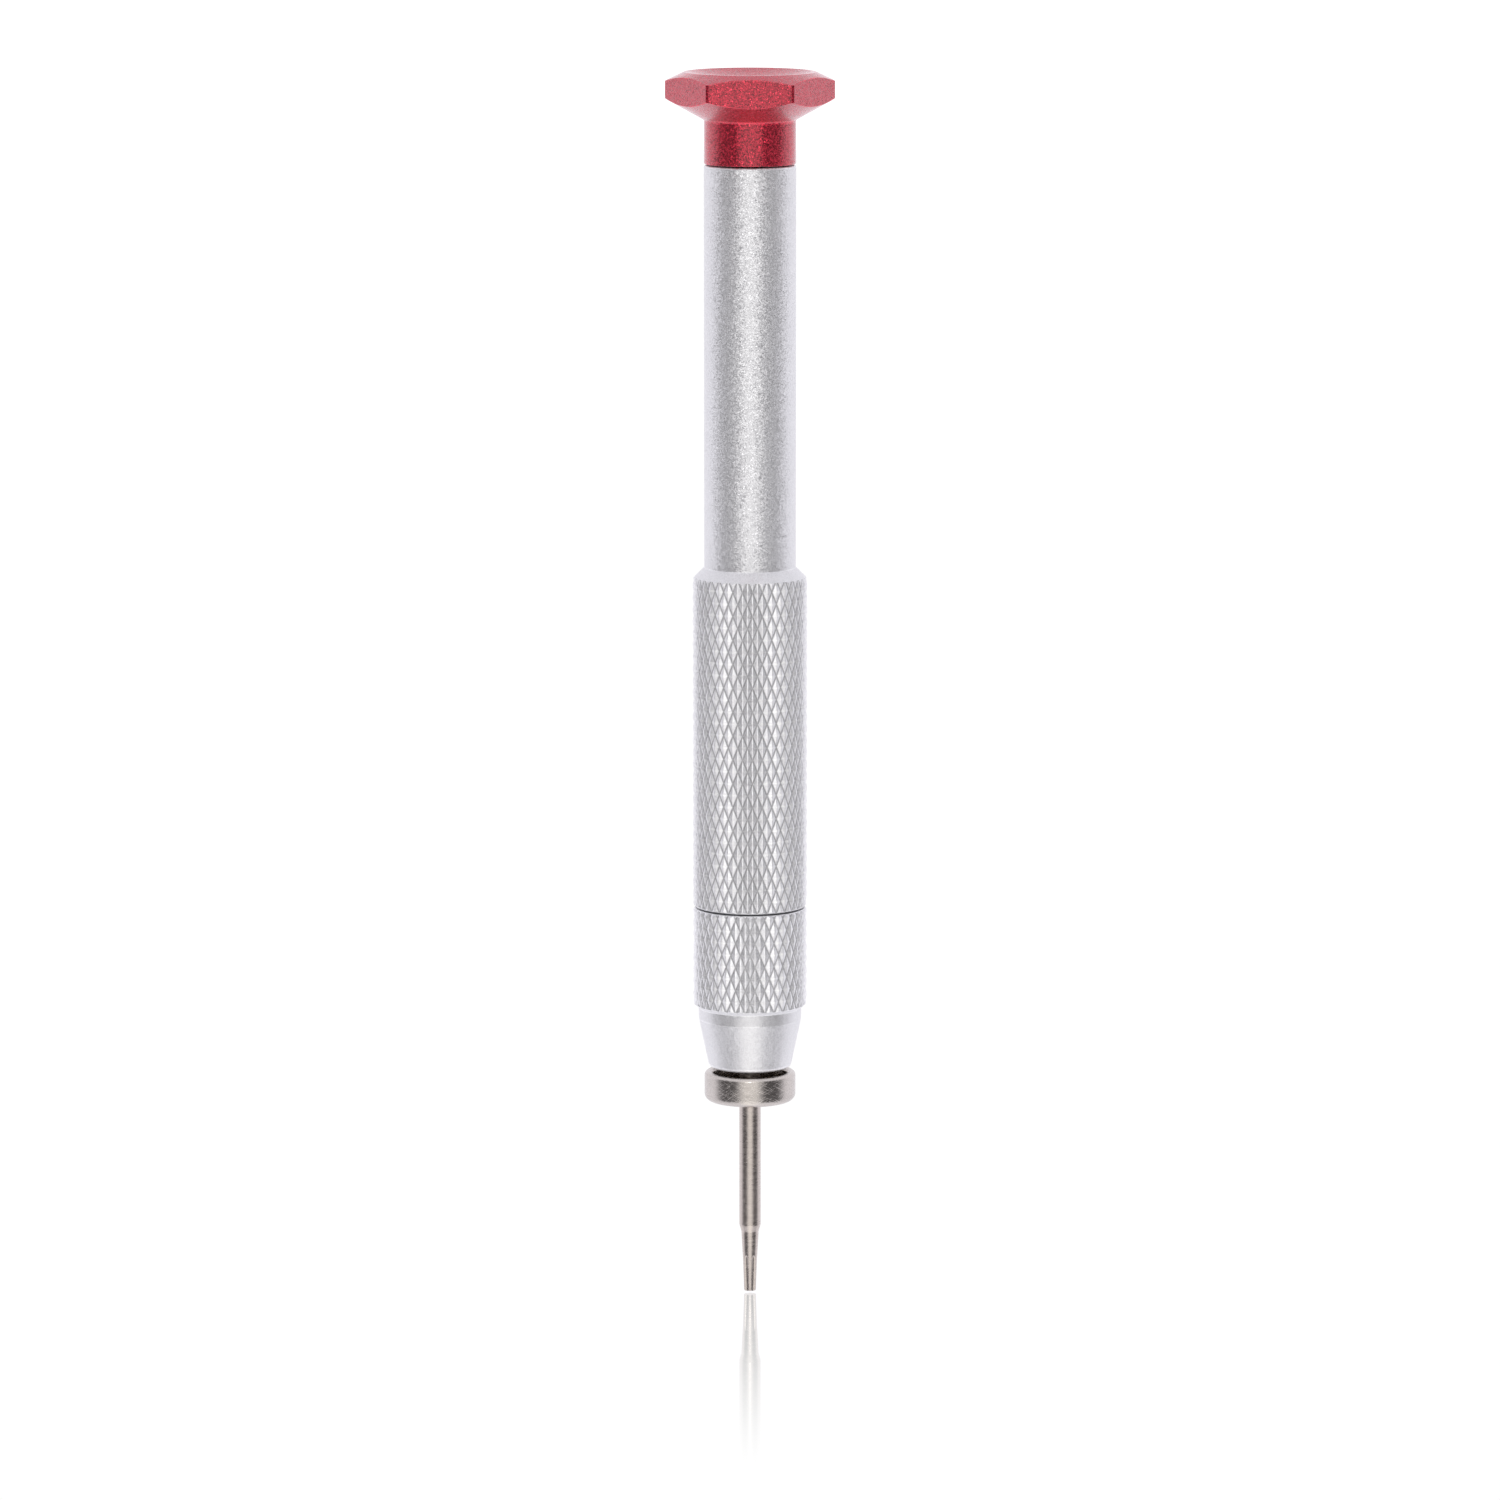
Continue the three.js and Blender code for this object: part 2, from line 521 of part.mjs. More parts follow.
makeCap();
makeBearing();
makePivot();
makeBarrel();
makeNut();
makeFrictionRing();
makeCollet();
makeSpring();
makeBlade();
makeCollar();

export default driver;
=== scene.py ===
"""Looks of a watchmaker's screwdriver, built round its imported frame.

The driver stands on its star tip with +Z up its axis. Every piece is a surface worked out as whole numpy
arrays: a turned outline carried round the axis, changed where the real piece is knurled, milled, slotted or
threaded. Sizes inside the classes are millimetres; meshes are written in metres.
"""
import logging
import math
from dataclasses import dataclass, field
from enum import Enum
from typing import Optional, Sequence, Union

import bpy
import numpy as np
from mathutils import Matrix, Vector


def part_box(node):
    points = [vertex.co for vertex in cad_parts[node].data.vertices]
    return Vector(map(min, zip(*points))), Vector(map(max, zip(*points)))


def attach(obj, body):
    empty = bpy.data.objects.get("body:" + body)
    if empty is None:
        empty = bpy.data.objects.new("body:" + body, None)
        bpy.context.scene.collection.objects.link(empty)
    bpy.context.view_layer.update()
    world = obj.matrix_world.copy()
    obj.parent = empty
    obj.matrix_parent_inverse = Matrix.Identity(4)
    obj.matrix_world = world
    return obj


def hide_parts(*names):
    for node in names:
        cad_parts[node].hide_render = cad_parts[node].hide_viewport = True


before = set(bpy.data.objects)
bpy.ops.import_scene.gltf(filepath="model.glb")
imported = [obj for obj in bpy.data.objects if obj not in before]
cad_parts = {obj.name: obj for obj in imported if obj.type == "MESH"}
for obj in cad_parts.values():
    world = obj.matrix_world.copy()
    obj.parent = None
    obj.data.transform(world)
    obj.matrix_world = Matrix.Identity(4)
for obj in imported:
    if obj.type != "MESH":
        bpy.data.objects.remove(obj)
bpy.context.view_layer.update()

Array = np.ndarray
Number = Union[float, np.ndarray]
Colour = tuple[float, float, float, float]
MM = 0.001
TURN = 2 * math.pi
TINY = 1e-6
MARKS = "marks"
COLOUR_OUTPUT = 2

log = logging.getLogger("driver")


class Body(Enum):
    """Rigid bodies that a piece can ride on."""

    BLADE = "blade"
    COLLET = "collet"
    NUT = "chuck_nut"
    HANDLE = "handle"
    CAP = "swivel_cap"
    BALLS = "ball_train"


class Slot(Enum):
    """Material slots of the record."""

    RED = "red_anodised"
    STEEL = "blasted_steel"
    NICKEL = "nickel_plate"
    BLADE = "blade_steel"
    BRASS = "collet_brass"
    RUBBER = "black_rubber"
    BEARING = "bearing_steel"
    SPRING = "spring_steel"


# ----------------------------------------------------------------------------------------------------
# Surfaces


@dataclass
class Shell:
    """One closed surface, in millimetres.

    Attributes:
        points: Corner positions, one row each.
        faces: Arrays of corner indices, one array for the four-sided faces and one for the three-sided.
        marks: For each point, how close it is to a softened edge and to a groove's floor, both from 0 to 1,
            and how far it is from a ridge, in shares of a groove's spacing.
    """

    points: Array
    faces: list[Array]
    marks: Array

    def volume(self) -> float:
        """Signed volume: positive if the faces look outwards. It is the sum of the cones from the origin."""
        total = 0.0
        for block in self.faces:
            first = self.points[block[:, 0]]
            for step in range(1, block.shape[1] - 1):
                second, third = self.points[block[:, step]], self.points[block[:, step + 1]]
                total += float(np.einsum("ij,ij->", first, np.cross(second, third))) / 6
        return total

    def outward(self) -> "Shell":
        """The same shell with its faces looking outwards."""
        if self.volume() >= 0:
            return self
        return Shell(self.points, [block[:, ::-1] for block in self.faces], self.marks)


def mark(edge: Number, groove: Number, ridge: Number, shape: tuple[int, ...]) -> Array:
    """Marks of a grid of points.

    Args:
        edge: Closeness to a softened edge.
        groove: Closeness to a groove's floor.
        ridge: Distance from a ridge.
        shape: Rows and columns of the grid.

    Returns:
        Grid of marks, rows by columns by 3.
    """
    return np.stack([np.broadcast_to(part, shape) for part in (edge, groove, ridge)], axis=-1)


def edge_marks(edges: Array, columns: int) -> Array:
    """Marks of a turned grid that has no grooves, from the edge mark of each row."""
    return mark(edges[:, None], 0.0, 1.0, (len(edges), columns))


def weave(points: Array, marks: Optional[Array] = None, ring: bool = False,
          split: Optional[Array] = None) -> Shell:
    """Joins a grid of points into a closed shell.

    The columns close on themselves. A row whose points all meet is a pole, and becomes one point.

    Args:
        points: Grid of positions, rows by columns by 3.
        marks: Marks of the points, or None if nothing is marked.
        ring: True if the last row joins the first, as on a ring's section.
        split: For each face of the grid, 0 for a four-sided face, 1 or 2 for the diagonal that cuts it.

    Returns:
        The shell, with its faces looking outwards.
    """
    rows, columns = points.shape[:2]
    index = np.arange(rows * columns).reshape(rows, columns)
    poles = np.ptp(points, axis=1).max(axis=1) < TINY
    index[poles] = index[poles][:, :1]
    low = index if ring else index[:-1]
    high = np.roll(index, -1, axis=0) if ring else index[1:]
    corners = np.stack([low, np.roll(low, -1, 1), np.roll(high, -1, 1), high], axis=-1).reshape(-1, 4)
    chosen = np.zeros(len(corners), int) if split is None else split.reshape(-1)
    pinched_low = corners[:, 0] == corners[:, 1]
    pinched_high = corners[:, 2] == corners[:, 3]
    whole = ~(pinched_low | pinched_high)
    quads = corners[whole & (chosen == 0)]
    one, two = corners[whole & (chosen == 1)], corners[whole & (chosen == 2)]
    triangles = np.concatenate([
        corners[pinched_low & ~pinched_high][:, [0, 2, 3]],
        corners[pinched_high & ~pinched_low][:, [0, 1, 2]],
        one[:, [0, 1, 2]], one[:, [0, 2, 3]],
        two[:, [0, 1, 3]], two[:, [1, 2, 3]],
    ])
    used, packed = np.unique(np.concatenate([quads.ravel(), triangles.ravel()]), return_inverse=True)
    faces = [packed[: quads.size].reshape(-1, 4), packed[quads.size:].reshape(-1, 3)]
    grid = mark(0.0, 0.0, 1.0, (rows, columns)) if marks is None else marks
    return Shell(points.reshape(-1, 3)[used], faces, grid.reshape(-1, 3)[used]).outward()


@dataclass(frozen=True)
class Corner:
    """One corner of a turned outline.

    Attributes:
        radius: Distance from the axis, or one for each column.
        height: Height, or one for each column.
        rounding: How far from the corner its softened edge starts; 0 leaves the corner as it is.
        steps: Points along the softened edge.
    """

    radius: Number
    height: Number
    rounding: float = 0.0
    steps: int = 4


def soften(corners: Sequence[Corner], columns: int, ring: bool = False) -> tuple[Array, Array]:
    """Outline with its corners rounded, worked out for every column at once.

    Between the points where it leaves the two sides, a softened corner is the quadratic blend
    (1-s)^2 first + 2s(1-s) corner + s^2 last. A guard point beyond each end keeps the edge mark narrow.

    Args:
        corners: The outline's corners in order.
        columns: Number of columns round the axis.
        ring: True if the outline closes on itself.

    Returns:
        Points, rows by columns by 2 (radius, height), and the edge mark of each row.
    """
    places = np.stack([
        np.stack([np.broadcast_to(c.radius, columns), np.broadcast_to(c.height, columns)], axis=-1)
        for c in corners]).astype(float)
    before, after = np.roll(places, 1, axis=0), np.roll(places, -1, axis=0)
    points, marks = [], []
    for number, corner in enumerate(corners):
        at_end = not ring and number in (0, len(corners) - 1)
        place = places[number]
        if corner.rounding <= 0 or at_end:
            points.append(place[None])
            marks.append([0.0])
            continue
        sides = []
        for other in (before[number], after[number]):
            way = other - place
            length = np.linalg.norm(way, axis=1, keepdims=True)
            sides.append((way / length, np.minimum(corner.rounding, 0.45 * length)))
        (way_in, reach_in), (way_out, reach_out) = sides
        first, last = place + way_in * reach_in, place + way_out * reach_out
        s = np.linspace(0, 1, corner.steps + 1)[:, None, None]
        curve = (1 - s) ** 2 * first + 2 * s * (1 - s) * place + s ** 2 * last
        guards = place + way_in * reach_in * 1.08, place + way_out * reach_out * 1.08
        points.append(np.concatenate([guards[0][None], curve, guards[1][None]]))
        marks.append([0.0, *[1.0] * (corner.steps + 1), 0.0])
    return np.concatenate(points), np.concatenate(marks)


def carry(outline: Array, angles: Array) -> Array:
    """Carries an outline round the axis: x = r cos(angle), y = r sin(angle), z = height.

    Args:
        outline: Rows by columns by 2, radius and height.
        angles: Angle of each column, in radians.

    Returns:
        Grid of positions, rows by columns by 3.
    """
    radius, height = outline[..., 0], outline[..., 1]
    return np.stack(np.broadcast_arrays(radius * np.cos(angles), radius * np.sin(angles), height), axis=-1)


def even(columns: int) -> Array:
    """Angles of columns spread evenly round the axis, in radians."""
    return TURN * np.arange(columns) / columns


def profile(radius: Array, height: Array) -> Array:
    """Outline from radii and heights, stretched to one shape."""
    return np.stack(np.broadcast_arrays(radius, height), axis=-1)


def turned(corners: Sequence[Corner], columns: int = 128, ring: bool = False) -> Shell:
    """Plain turned shell from an outline of corners."""
    outline, edges = soften(corners, columns, ring)
    return weave(carry(outline, even(columns)), edge_marks(edges, columns), ring)


def arc(radius: float, height: float, size: float, angles: Array) -> list[Corner]:
    """Corners on a circle: its middle, plus size times the cosine and sine of each angle."""
    return [Corner(radius + size * math.cos(angle), height + size * math.sin(angle)) for angle in angles]


def ended(grid: Array) -> Shell:
    """Shell of a tube whose first and last rows are closed by a point at their middle."""
    centre = grid.mean(axis=1, keepdims=True).repeat(grid.shape[1], axis=1)
    return weave(np.concatenate([centre[:1], grid, centre[-1:]]))


def make_mesh(name: str, shells: Sequence[Shell], sharp_degrees: float) -> bpy.types.Object:
    """Writes shells into one mesh object at the origin.

    Args:
        name: Name of the object.
        shells: The closed shells, in millimetres.
        sharp_degrees: Faces that meet at more than this angle keep a sharp edge.

    Returns:
        The linked object.
    """
    points = np.concatenate([shell.points for shell in shells]) * MM
    marks = np.concatenate([shell.marks for shell in shells])
    loops, totals, offset = [], [], 0
    for shell in shells:
        for block in shell.faces:
            loops.append((block + offset).ravel())
            totals.append(np.full(len(block), block.shape[1]))
        offset += len(shell.points)
    loop_points, loop_totals = np.concatenate(loops), np.concatenate(totals)
    mesh = bpy.data.meshes.new(name)
    mesh.vertices.add(len(points))
    mesh.vertices.foreach_set("co", points.astype(np.float32).ravel())
    mesh.loops.add(len(loop_points))
    mesh.loops.foreach_set("vertex_index", loop_points.astype(np.int32))
    mesh.polygons.add(len(loop_totals))
    starts = np.concatenate([[0], np.cumsum(loop_totals)[:-1]])
    mesh.polygons.foreach_set("loop_start", starts.astype(np.int32))
    mesh.polygons.foreach_set("use_smooth", np.ones(len(loop_totals), bool))
    mesh.update(calc_edges=True)
    mesh.validate()
    attribute = mesh.attributes.new(MARKS, "FLOAT_VECTOR", "POINT")
    attribute.data.foreach_set("vector", marks.astype(np.float32).ravel())
    mesh.set_sharp_from_angle(angle=math.radians(sharp_degrees))
    piece = bpy.data.objects.new(name, mesh)
    bpy.context.scene.collection.objects.link(piece)
    return piece


# ----------------------------------------------------------------------------------------------------
# Shader expressions


class Recipe:
    """A material's node tree, with one method that adds any node."""

    def __init__(self, material: bpy.types.Material) -> None:
        """Starts from an empty tree."""
        material.use_nodes = True
        self.tree = material.node_tree
        self.tree.nodes.clear()

    def node(self, kind: str, settings: Optional[dict] = None, **sockets: object) -> bpy.types.Node:
        """Adds a node.

        Args:
            kind: Node type without its ShaderNode prefix.
            settings: Properties to set first, such as an operation.
            sockets: Input values or links, by socket name with _ for a space, or i0, i1 for a place.

        Returns:
            The node.
        """
        made = self.tree.nodes.new("ShaderNode" + kind)
        for key, value in (settings or {}).items():
            setattr(made, key, value)
        for key, value in sockets.items():
            by_place = key[0] == "i" and key[1:].isdigit()
            self.give(made.inputs[int(key[1:]) if by_place else key.replace("_", " ")], value)
        return made

    def give(self, socket: bpy.types.NodeSocket, value: object) -> None:
        """Links an input to a value or an output socket, or sets it to a constant."""
        if isinstance(value, Value):
            value = value.socket
        if isinstance(value, bpy.types.NodeSocket):
            self.tree.links.new(value, socket)
        else:
            socket.default_value = value

    def value(self, kind: str, settings: Optional[dict] = None, out: Union[int, str] = 0,
              **sockets: object) -> "Value":
        """Adds a node and wraps one of its outputs as a value."""
        return Value(self, self.node(kind, settings, **sockets).outputs[out])

    def mix(self, factor: object, first: object, second: object) -> "Value":
        """Mixes two colours; a factor of 0 is the first."""
        settings = {"data_type": "RGBA", "clamp_factor": True}
        return self.value("Mix", settings, COLOUR_OUTPUT, i0=factor, i6=first, i7=second)

    def vector(self, operation: str, first: object, second: object) -> "Value":
        """Adds a Vector Math node whose result is a vector."""
        return self.value("VectorMath", {"operation": operation}, i0=first, i1=second)

    def scaled(self, vector: object, share: "Value") -> "Value":
        """Vector or colour times a value."""
        return self.value("VectorMath", {"operation": "SCALE"}, i0=vector, Scale=share)

    def parts(self, vector: object) -> "tuple[Value, Value, Value]":
        """The three components of a vector."""
        split = self.node("SeparateXYZ", None, i0=vector)
        return Value(self, split.outputs[0]), Value(self, split.outputs[1]), Value(self, split.outputs[2])

    def noise(self, place: object, size: float, **sockets: float) -> "Value":
        """Noise whose largest features are a size across, in millimetres."""
        return self.value("TexNoise", None, "Fac", Vector=place, Scale=1 / (size * MM), **sockets)

    def finish(self, kind: str, shader: bpy.types.Node) -> None:
        """Adds the output node and links a shader to its surface."""
        self.node(kind, None, Surface=shader.outputs[0])


class Value:
    """A shader socket that adds Math nodes when it is used in Python arithmetic."""

    def __init__(self, recipe: Recipe, socket: bpy.types.NodeSocket) -> None:
        """Wraps an output socket of a recipe."""
        self.recipe, self.socket = recipe, socket

    def math(self, operation: str, *others: object) -> "Value":
        """Adds a Math node with this value as its first input."""
        inputs = {f"i{place + 1}": other for place, other in enumerate(others)}
        return self.recipe.value("Math", {"operation": operation}, i0=self, **inputs)

    def _reflected(self, operation: str, other: float) -> "Value":
        """Adds a Math node with this value as its second input."""
        return self.recipe.value("Math", {"operation": operation}, i0=other, i1=self)

    def __add__(self, other: object) -> "Value":
        """Sum."""
        return self.math("ADD", other)

    __radd__ = __add__

    def __sub__(self, other: object) -> "Value":
        """Difference."""
        return self.math("SUBTRACT", other)

    def __rsub__(self, other: float) -> "Value":
        """Difference from a number."""
        return self._reflected("SUBTRACT", other)

    def __mul__(self, other: object) -> "Value":
        """Product."""
        return self.math("MULTIPLY", other)

    __rmul__ = __mul__

    def __truediv__(self, other: object) -> "Value":
        """Quotient."""
        return self.math("DIVIDE", other)

    def smooth(self, low: float, high: float) -> "Value":
        """Smooth step: 0 at low, 1 at high."""
        settings = {"interpolation_type": "SMOOTHSTEP"}
        return self.recipe.value("MapRange", settings, i0=self, i1=low, i2=high, i3=0.0, i4=1.0)


def grey(level: float) -> Colour:
    """Colour of equal parts."""
    return level, level, level, 1.0


def tone(colour: Sequence[float], share: float = 1.0) -> Colour:
    """Colour made lighter or darker by a share."""
    return colour[0] * share, colour[1] * share, colour[2] * share, 1.0


SHADE = tone((0.16, 0.12, 0.09))  # brown shade deep in a hollow


@dataclass(frozen=True)
class Finish:
    """What every finish has: a name, its colour and its gloss.

    Attributes:
        name: Name of the material.
        colour: Base colour in linear light.
        roughness: Spread of the reflection.
        metallic: 1 on bare metal, 0 on rubber.
    """

    name: str
    colour: tuple[float, float, float]
    roughness: float
    metallic: float = 1.0

    def material(self) -> bpy.types.Material:
        """The finish as a material, made once and shared."""
        found = bpy.data.materials.get(self.name)
        if found is not None:
            return found
        made = bpy.data.materials.new(self.name)
        recipe = Recipe(made)
        shader = recipe.node("BsdfPrincipled", None, Metallic=self.metallic)
        self.dress(recipe, shader, recipe.value("TexCoord", out="Object"))
        recipe.finish("OutputMaterial", shader)
        return made

    def dress(self, recipe: Recipe, shader: bpy.types.Node, place: Value) -> None:
        """Joins the finish's pattern to the shader; each finish has its own."""
        raise NotImplementedError

    @staticmethod
    def marks(recipe: Recipe) -> tuple[Value, Value, Value]:
        """The mesh's marks: closeness to an edge, closeness to a groove's floor, distance from a ridge."""
        return recipe.parts(recipe.value("Attribute", {"attribute_name": MARKS}, "Vector"))

    @staticmethod
    def feed(recipe: Recipe, shader: bpy.types.Node, **inputs: Value) -> None:
        """Links values to the shader's sockets by name."""
        for key, value in inputs.items():
            recipe.give(shader.inputs[key.replace("_", " ")], value)


@dataclass(frozen=True)
class Blasted(Finish):
    """Bead-blasted metal: tiny facets that glitter, edges worn bright, ridge crests brightened by wear and a
    painted highlight, and painted shade on groove floors.

    Attributes:
        grain: Width of one facet, in millimetres.
        tilt: Slope of the facets.
        mottle: Share by which the colour wanders.
        wear_and_highlight_share: Share by which worn edges, and ridge crests with their painted highlight,
            are brighter.
        ridge: Half-width of a rounded ridge, as a mark's distance, or 0 for none.
        slope: Slope of the sides of such a ridge.
        coat: Weight of the clear layer over the metal.
        coat_roughness: Spread of that layer's reflection.
    """

    grain: float = 0.15
    tilt: float = 0.2
    mottle: float = 0.3
    wear_and_highlight_share: float = 0.08
    ridge: float = 0.0
    slope: float = 0.45
    coat: float = 0.0
    coat_roughness: float = 0.17

    def dress(self, recipe: Recipe, shader: bpy.types.Node, place: Value) -> None:
        """Each cell of a cell noise is a flat facet that leans its own way.

        A facet's height is the dot product of the way from its middle with its own random vector. A ridge of
        half-width w is rounded by lowering it by slope (w - x)^2 / 2w, at a distance x.
        """
        edge, groove, ridge = self.marks(recipe)
        cells = recipe.node("TexVoronoi", {"feature": "F1"}, Vector=place, Scale=1 / (self.grain * MM))
        offset = recipe.vector("SUBTRACT", place, cells.outputs["Position"])
        lean = recipe.vector("SUBTRACT", cells.outputs["Color"], (0.5, 0.5, 0.5))
        facet = recipe.value("VectorMath", {"operation": "DOT_PRODUCT"}, "Value", i0=offset, i1=lean) / MM
        own = recipe.value("SeparateColor", None, "Blue", i0=cells.outputs["Color"])
        fine = recipe.noise(place, 0.3, Detail=2.0, Roughness=0.6)
        broad = recipe.noise(place, 3.0, Detail=3.0, Roughness=0.5)
        wear_and_highlight = edge * broad.smooth(0.3, 0.6)
        # Painted shade: colour darkened towards the knurl's groove floors, where shade falls; the floors are
        # also made rougher.
        groove_shade = groove.smooth(0.72, 0.95)
        rolled = ridge.smooth(0.9, 0.6)
        height = facet * self.tilt * (1.0 - rolled * 0.5) + fine * (0.03 * self.tilt)
        if self.ridge:
            inside = (self.ridge - ridge).math("MAXIMUM", 0.0)
            height = height - inside * inside * (self.slope / (4 * self.ridge))
            # Ridge crests brightened in colour: wear plus a painted highlight along each crest.
            wear_and_highlight = wear_and_highlight + inside * (0.5 / self.ridge)
        level = 1.0 + (own - 0.5) * self.mottle + (broad - 0.5) * 0.06
        # Colour: darker on groove floors (painted shade), brighter on worn edges and on ridge crests (wear
        # plus painted highlight).
        level = level * (1.0 - groove_shade * 0.45) * (1.0 + wear_and_highlight * self.wear_and_highlight_share) * (1.0 + rolled * 0.13)
        bright = recipe.scaled(self.colour, level)
        gloss = (own - 0.5) * 0.12 + (fine - 0.5) * 0.1 + self.roughness + groove_shade * 0.2 - wear_and_highlight * 0.06
        bump = recipe.value("Bump", None, "Normal", Strength=1.0, Distance=MM, Height=height)
        self.feed(recipe, shader, Base_Color=bright, Roughness=gloss, Normal=bump)
        shader.inputs["Coat Weight"].default_value = self.coat
        shader.inputs["Coat Roughness"].default_value = self.coat_roughness


@dataclass(frozen=True)
class Polished(Finish):
    """Ground or plated metal with turning lines round the axis, fine crossed scratches and painted shade in
    marked hollows.

    Attributes:
        line: Spacing of the turning lines, in millimetres.
        relief: Depth of the lines, in millimetres.
        scratch: Weight of the crossed scratches.
        radius: Radius of the dressed piece, in millimetres.
        twist: Cotangent of the scratches' slope.
    """

    line: float = 0.05
    relief: float = 0.002
    scratch: float = 0.5
    radius: float = 3.0
    twist: float = 2.0

    def dress(self, recipe: Recipe, shader: bpy.types.Node, place: Value) -> None:
        """Noise squeezed along the axis gives turning lines; noise twisted round it gives scratches."""
        lines = recipe.noise(recipe.vector("MULTIPLY", place, (0.12, 0.12, 1.0)), self.line, Detail=2.0)
        broad = recipe.noise(place, 1.5, Detail=3.0)
        height = recipe.parts(place)[2] / MM
        marks = None
        for twist in (self.twist, -0.8 * self.twist):
            angle = height * (twist / self.radius)
            turn = recipe.value("VectorRotate", {"rotation_type": "Z_AXIS"}, Vector=place, Angle=angle)
            along = recipe.vector("MULTIPLY", turn, (1.0, 1.0, 0.3))
            thin = recipe.noise(along, 1.1 * self.line, Detail=3.0, Distortion=1.2).smooth(0.54, 0.7)
            marks = thin if marks is None else marks + thin
        edge, groove, _ = self.marks(recipe)
        level = 1.0 + (lines - 0.5) * 0.35 + (broad - 0.5) * 0.15 + marks * (0.2 * self.scratch) + edge * 0.06
        # Painted shade: where a hollow is marked as a groove's floor, as in the collar's recess, the colour
        # turns to the brown SHADE.
        bright = recipe.mix(groove, recipe.scaled(self.colour, level), SHADE)
        gloss = (lines - 0.5) * 0.16 + (broad - 0.5) * 0.12 + marks * (0.12 * self.scratch) + self.roughness
        relief = lines + marks * (0.5 * self.scratch)
        bump = recipe.value("Bump", None, "Normal", Strength=1.0, Distance=self.relief * MM, Height=relief)
        self.feed(recipe, shader, Base_Color=bright, Roughness=gloss, Normal=bump)


@dataclass(frozen=True)
class Rubber(Finish):
    """Moulded rubber: a faint pebble and dull dust."""

    metallic: float = 0.0

    def dress(self, recipe: Recipe, shader: bpy.types.Node, place: Value) -> None:
        """Soft noise for the pebble, slower noise for the dust."""
        pebble = recipe.noise(place, 0.08, Detail=3.0)
        dust = recipe.noise(place, 0.7, Detail=3.0).smooth(0.45, 0.75)
        colour = recipe.mix(dust * 0.5, tone(self.colour), tone(self.colour, 2.2))
        gloss = pebble * 0.2 + dust * 0.1 + self.roughness
        bump = recipe.value("Bump", None, "Normal", Strength=0.6, Distance=0.01 * MM, Height=pebble)
        self.feed(recipe, shader, Base_Color=colour, Roughness=gloss, Normal=bump)


STEEL = (0.82, 0.82, 0.84)
STEEL_FINISH = Blasted(
    "blasted_steel_finish", STEEL, 0.39,
    metallic=0.8, grain=0.1, tilt=0.36, mottle=0.14, wear_and_highlight_share=0.15, ridge=0.16)
NOSE_FINISH = Blasted(
    "fine_blasted_steel_finish", STEEL, 0.40,
    metallic=0.8, grain=0.1, tilt=0.16, mottle=0.12, wear_and_highlight_share=0.15, ridge=0.16)
CAP_FINISH = Blasted(
    "red_anodised_finish", (0.575, 0.032, 0.062), 0.25,
    grain=0.1, tilt=0.68, mottle=0.38, wear_and_highlight_share=0.35, coat=1.0)
NICKEL_FINISH = Polished(
    "nickel_plate_finish", (0.60, 0.56, 0.53), 0.22, line=0.2, relief=0.013, scratch=0.8, radius=4.39)
BLADE_FINISH = Polished(
    "blade_steel_finish", (0.62, 0.56, 0.52), 0.29, line=0.16, relief=0.01, scratch=0.6, radius=1.035)
BEARING_FINISH = Polished(
    "bearing_steel_finish", (0.62, 0.63, 0.65), 0.1, line=0.04, relief=0.001, scratch=0.2)
BRASS_FINISH = Polished("collet_brass_finish", (0.60, 0.40, 0.16), 0.24, line=0.08, relief=0.004, scratch=0.5)
CAGE_FINISH = Polished("cage_bronze_finish", (0.45, 0.27, 0.11), 0.3, line=0.08, relief=0.003, scratch=0.5)
SPRING_FINISH = Polished(
    "spring_steel_finish", (0.45, 0.46, 0.48), 0.25, line=0.03, relief=0.002, scratch=0.4)
RUBBER_FINISH = Rubber("black_rubber_finish", (0.012, 0.012, 0.014), 0.55)


# ----------------------------------------------------------------------------------------------------
# Pieces


@dataclass
class Assembly:
    """A sub-assembly: it makes pieces, puts them on their bodies and dresses them.

    Attributes:
        made: The finished pieces, in order.
    """

    made: list[bpy.types.Object] = field(default_factory=list)

    def add(self, name: str, shells: Sequence[Shell], body: Body, slot: Slot, finish: Finish,
            sharp: float = 24.0) -> bpy.types.Object:
        """Makes one piece from its shells; it stands for the frame's node of the same name.

        Args:
            name: Name of the node that it replaces.
            shells: Its closed shells.
            body: Body that it rides on.
            slot: Material slot of the record; not used.
            finish: Its finish.
            sharp: Angle above which an edge stays sharp, in degrees.

        Returns:
            The piece.
        """
        piece = make_mesh(name + "_look", shells, sharp)
        piece.data.materials.append(finish.material())
        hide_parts(name)
        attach(piece, body.value)
        self.made.append(piece)
        log.info("%s: %d faces, on %s", name, len(piece.data.polygons), body.value)
        return piece

    def dress_node(self, name: str, finish: Finish) -> None:
        """Gives a node of the frame, whose shape stays, its finish."""
        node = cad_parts[name]
        node.data.materials.clear()
        node.data.materials.append(finish.material())
        log.info("%s: frame node, finish %s", name, finish.name)


def height_of(node: str) -> tuple[float, float]:
    """Lowest and highest point of a node, in millimetres."""
    low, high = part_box(node)
    return low[2] / MM, high[2] / MM


def radius_of(node: str) -> float:
    """Largest distance of a node's box from the axis, in millimetres."""
    low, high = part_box(node)
    return max(high[0], -low[0]) / MM


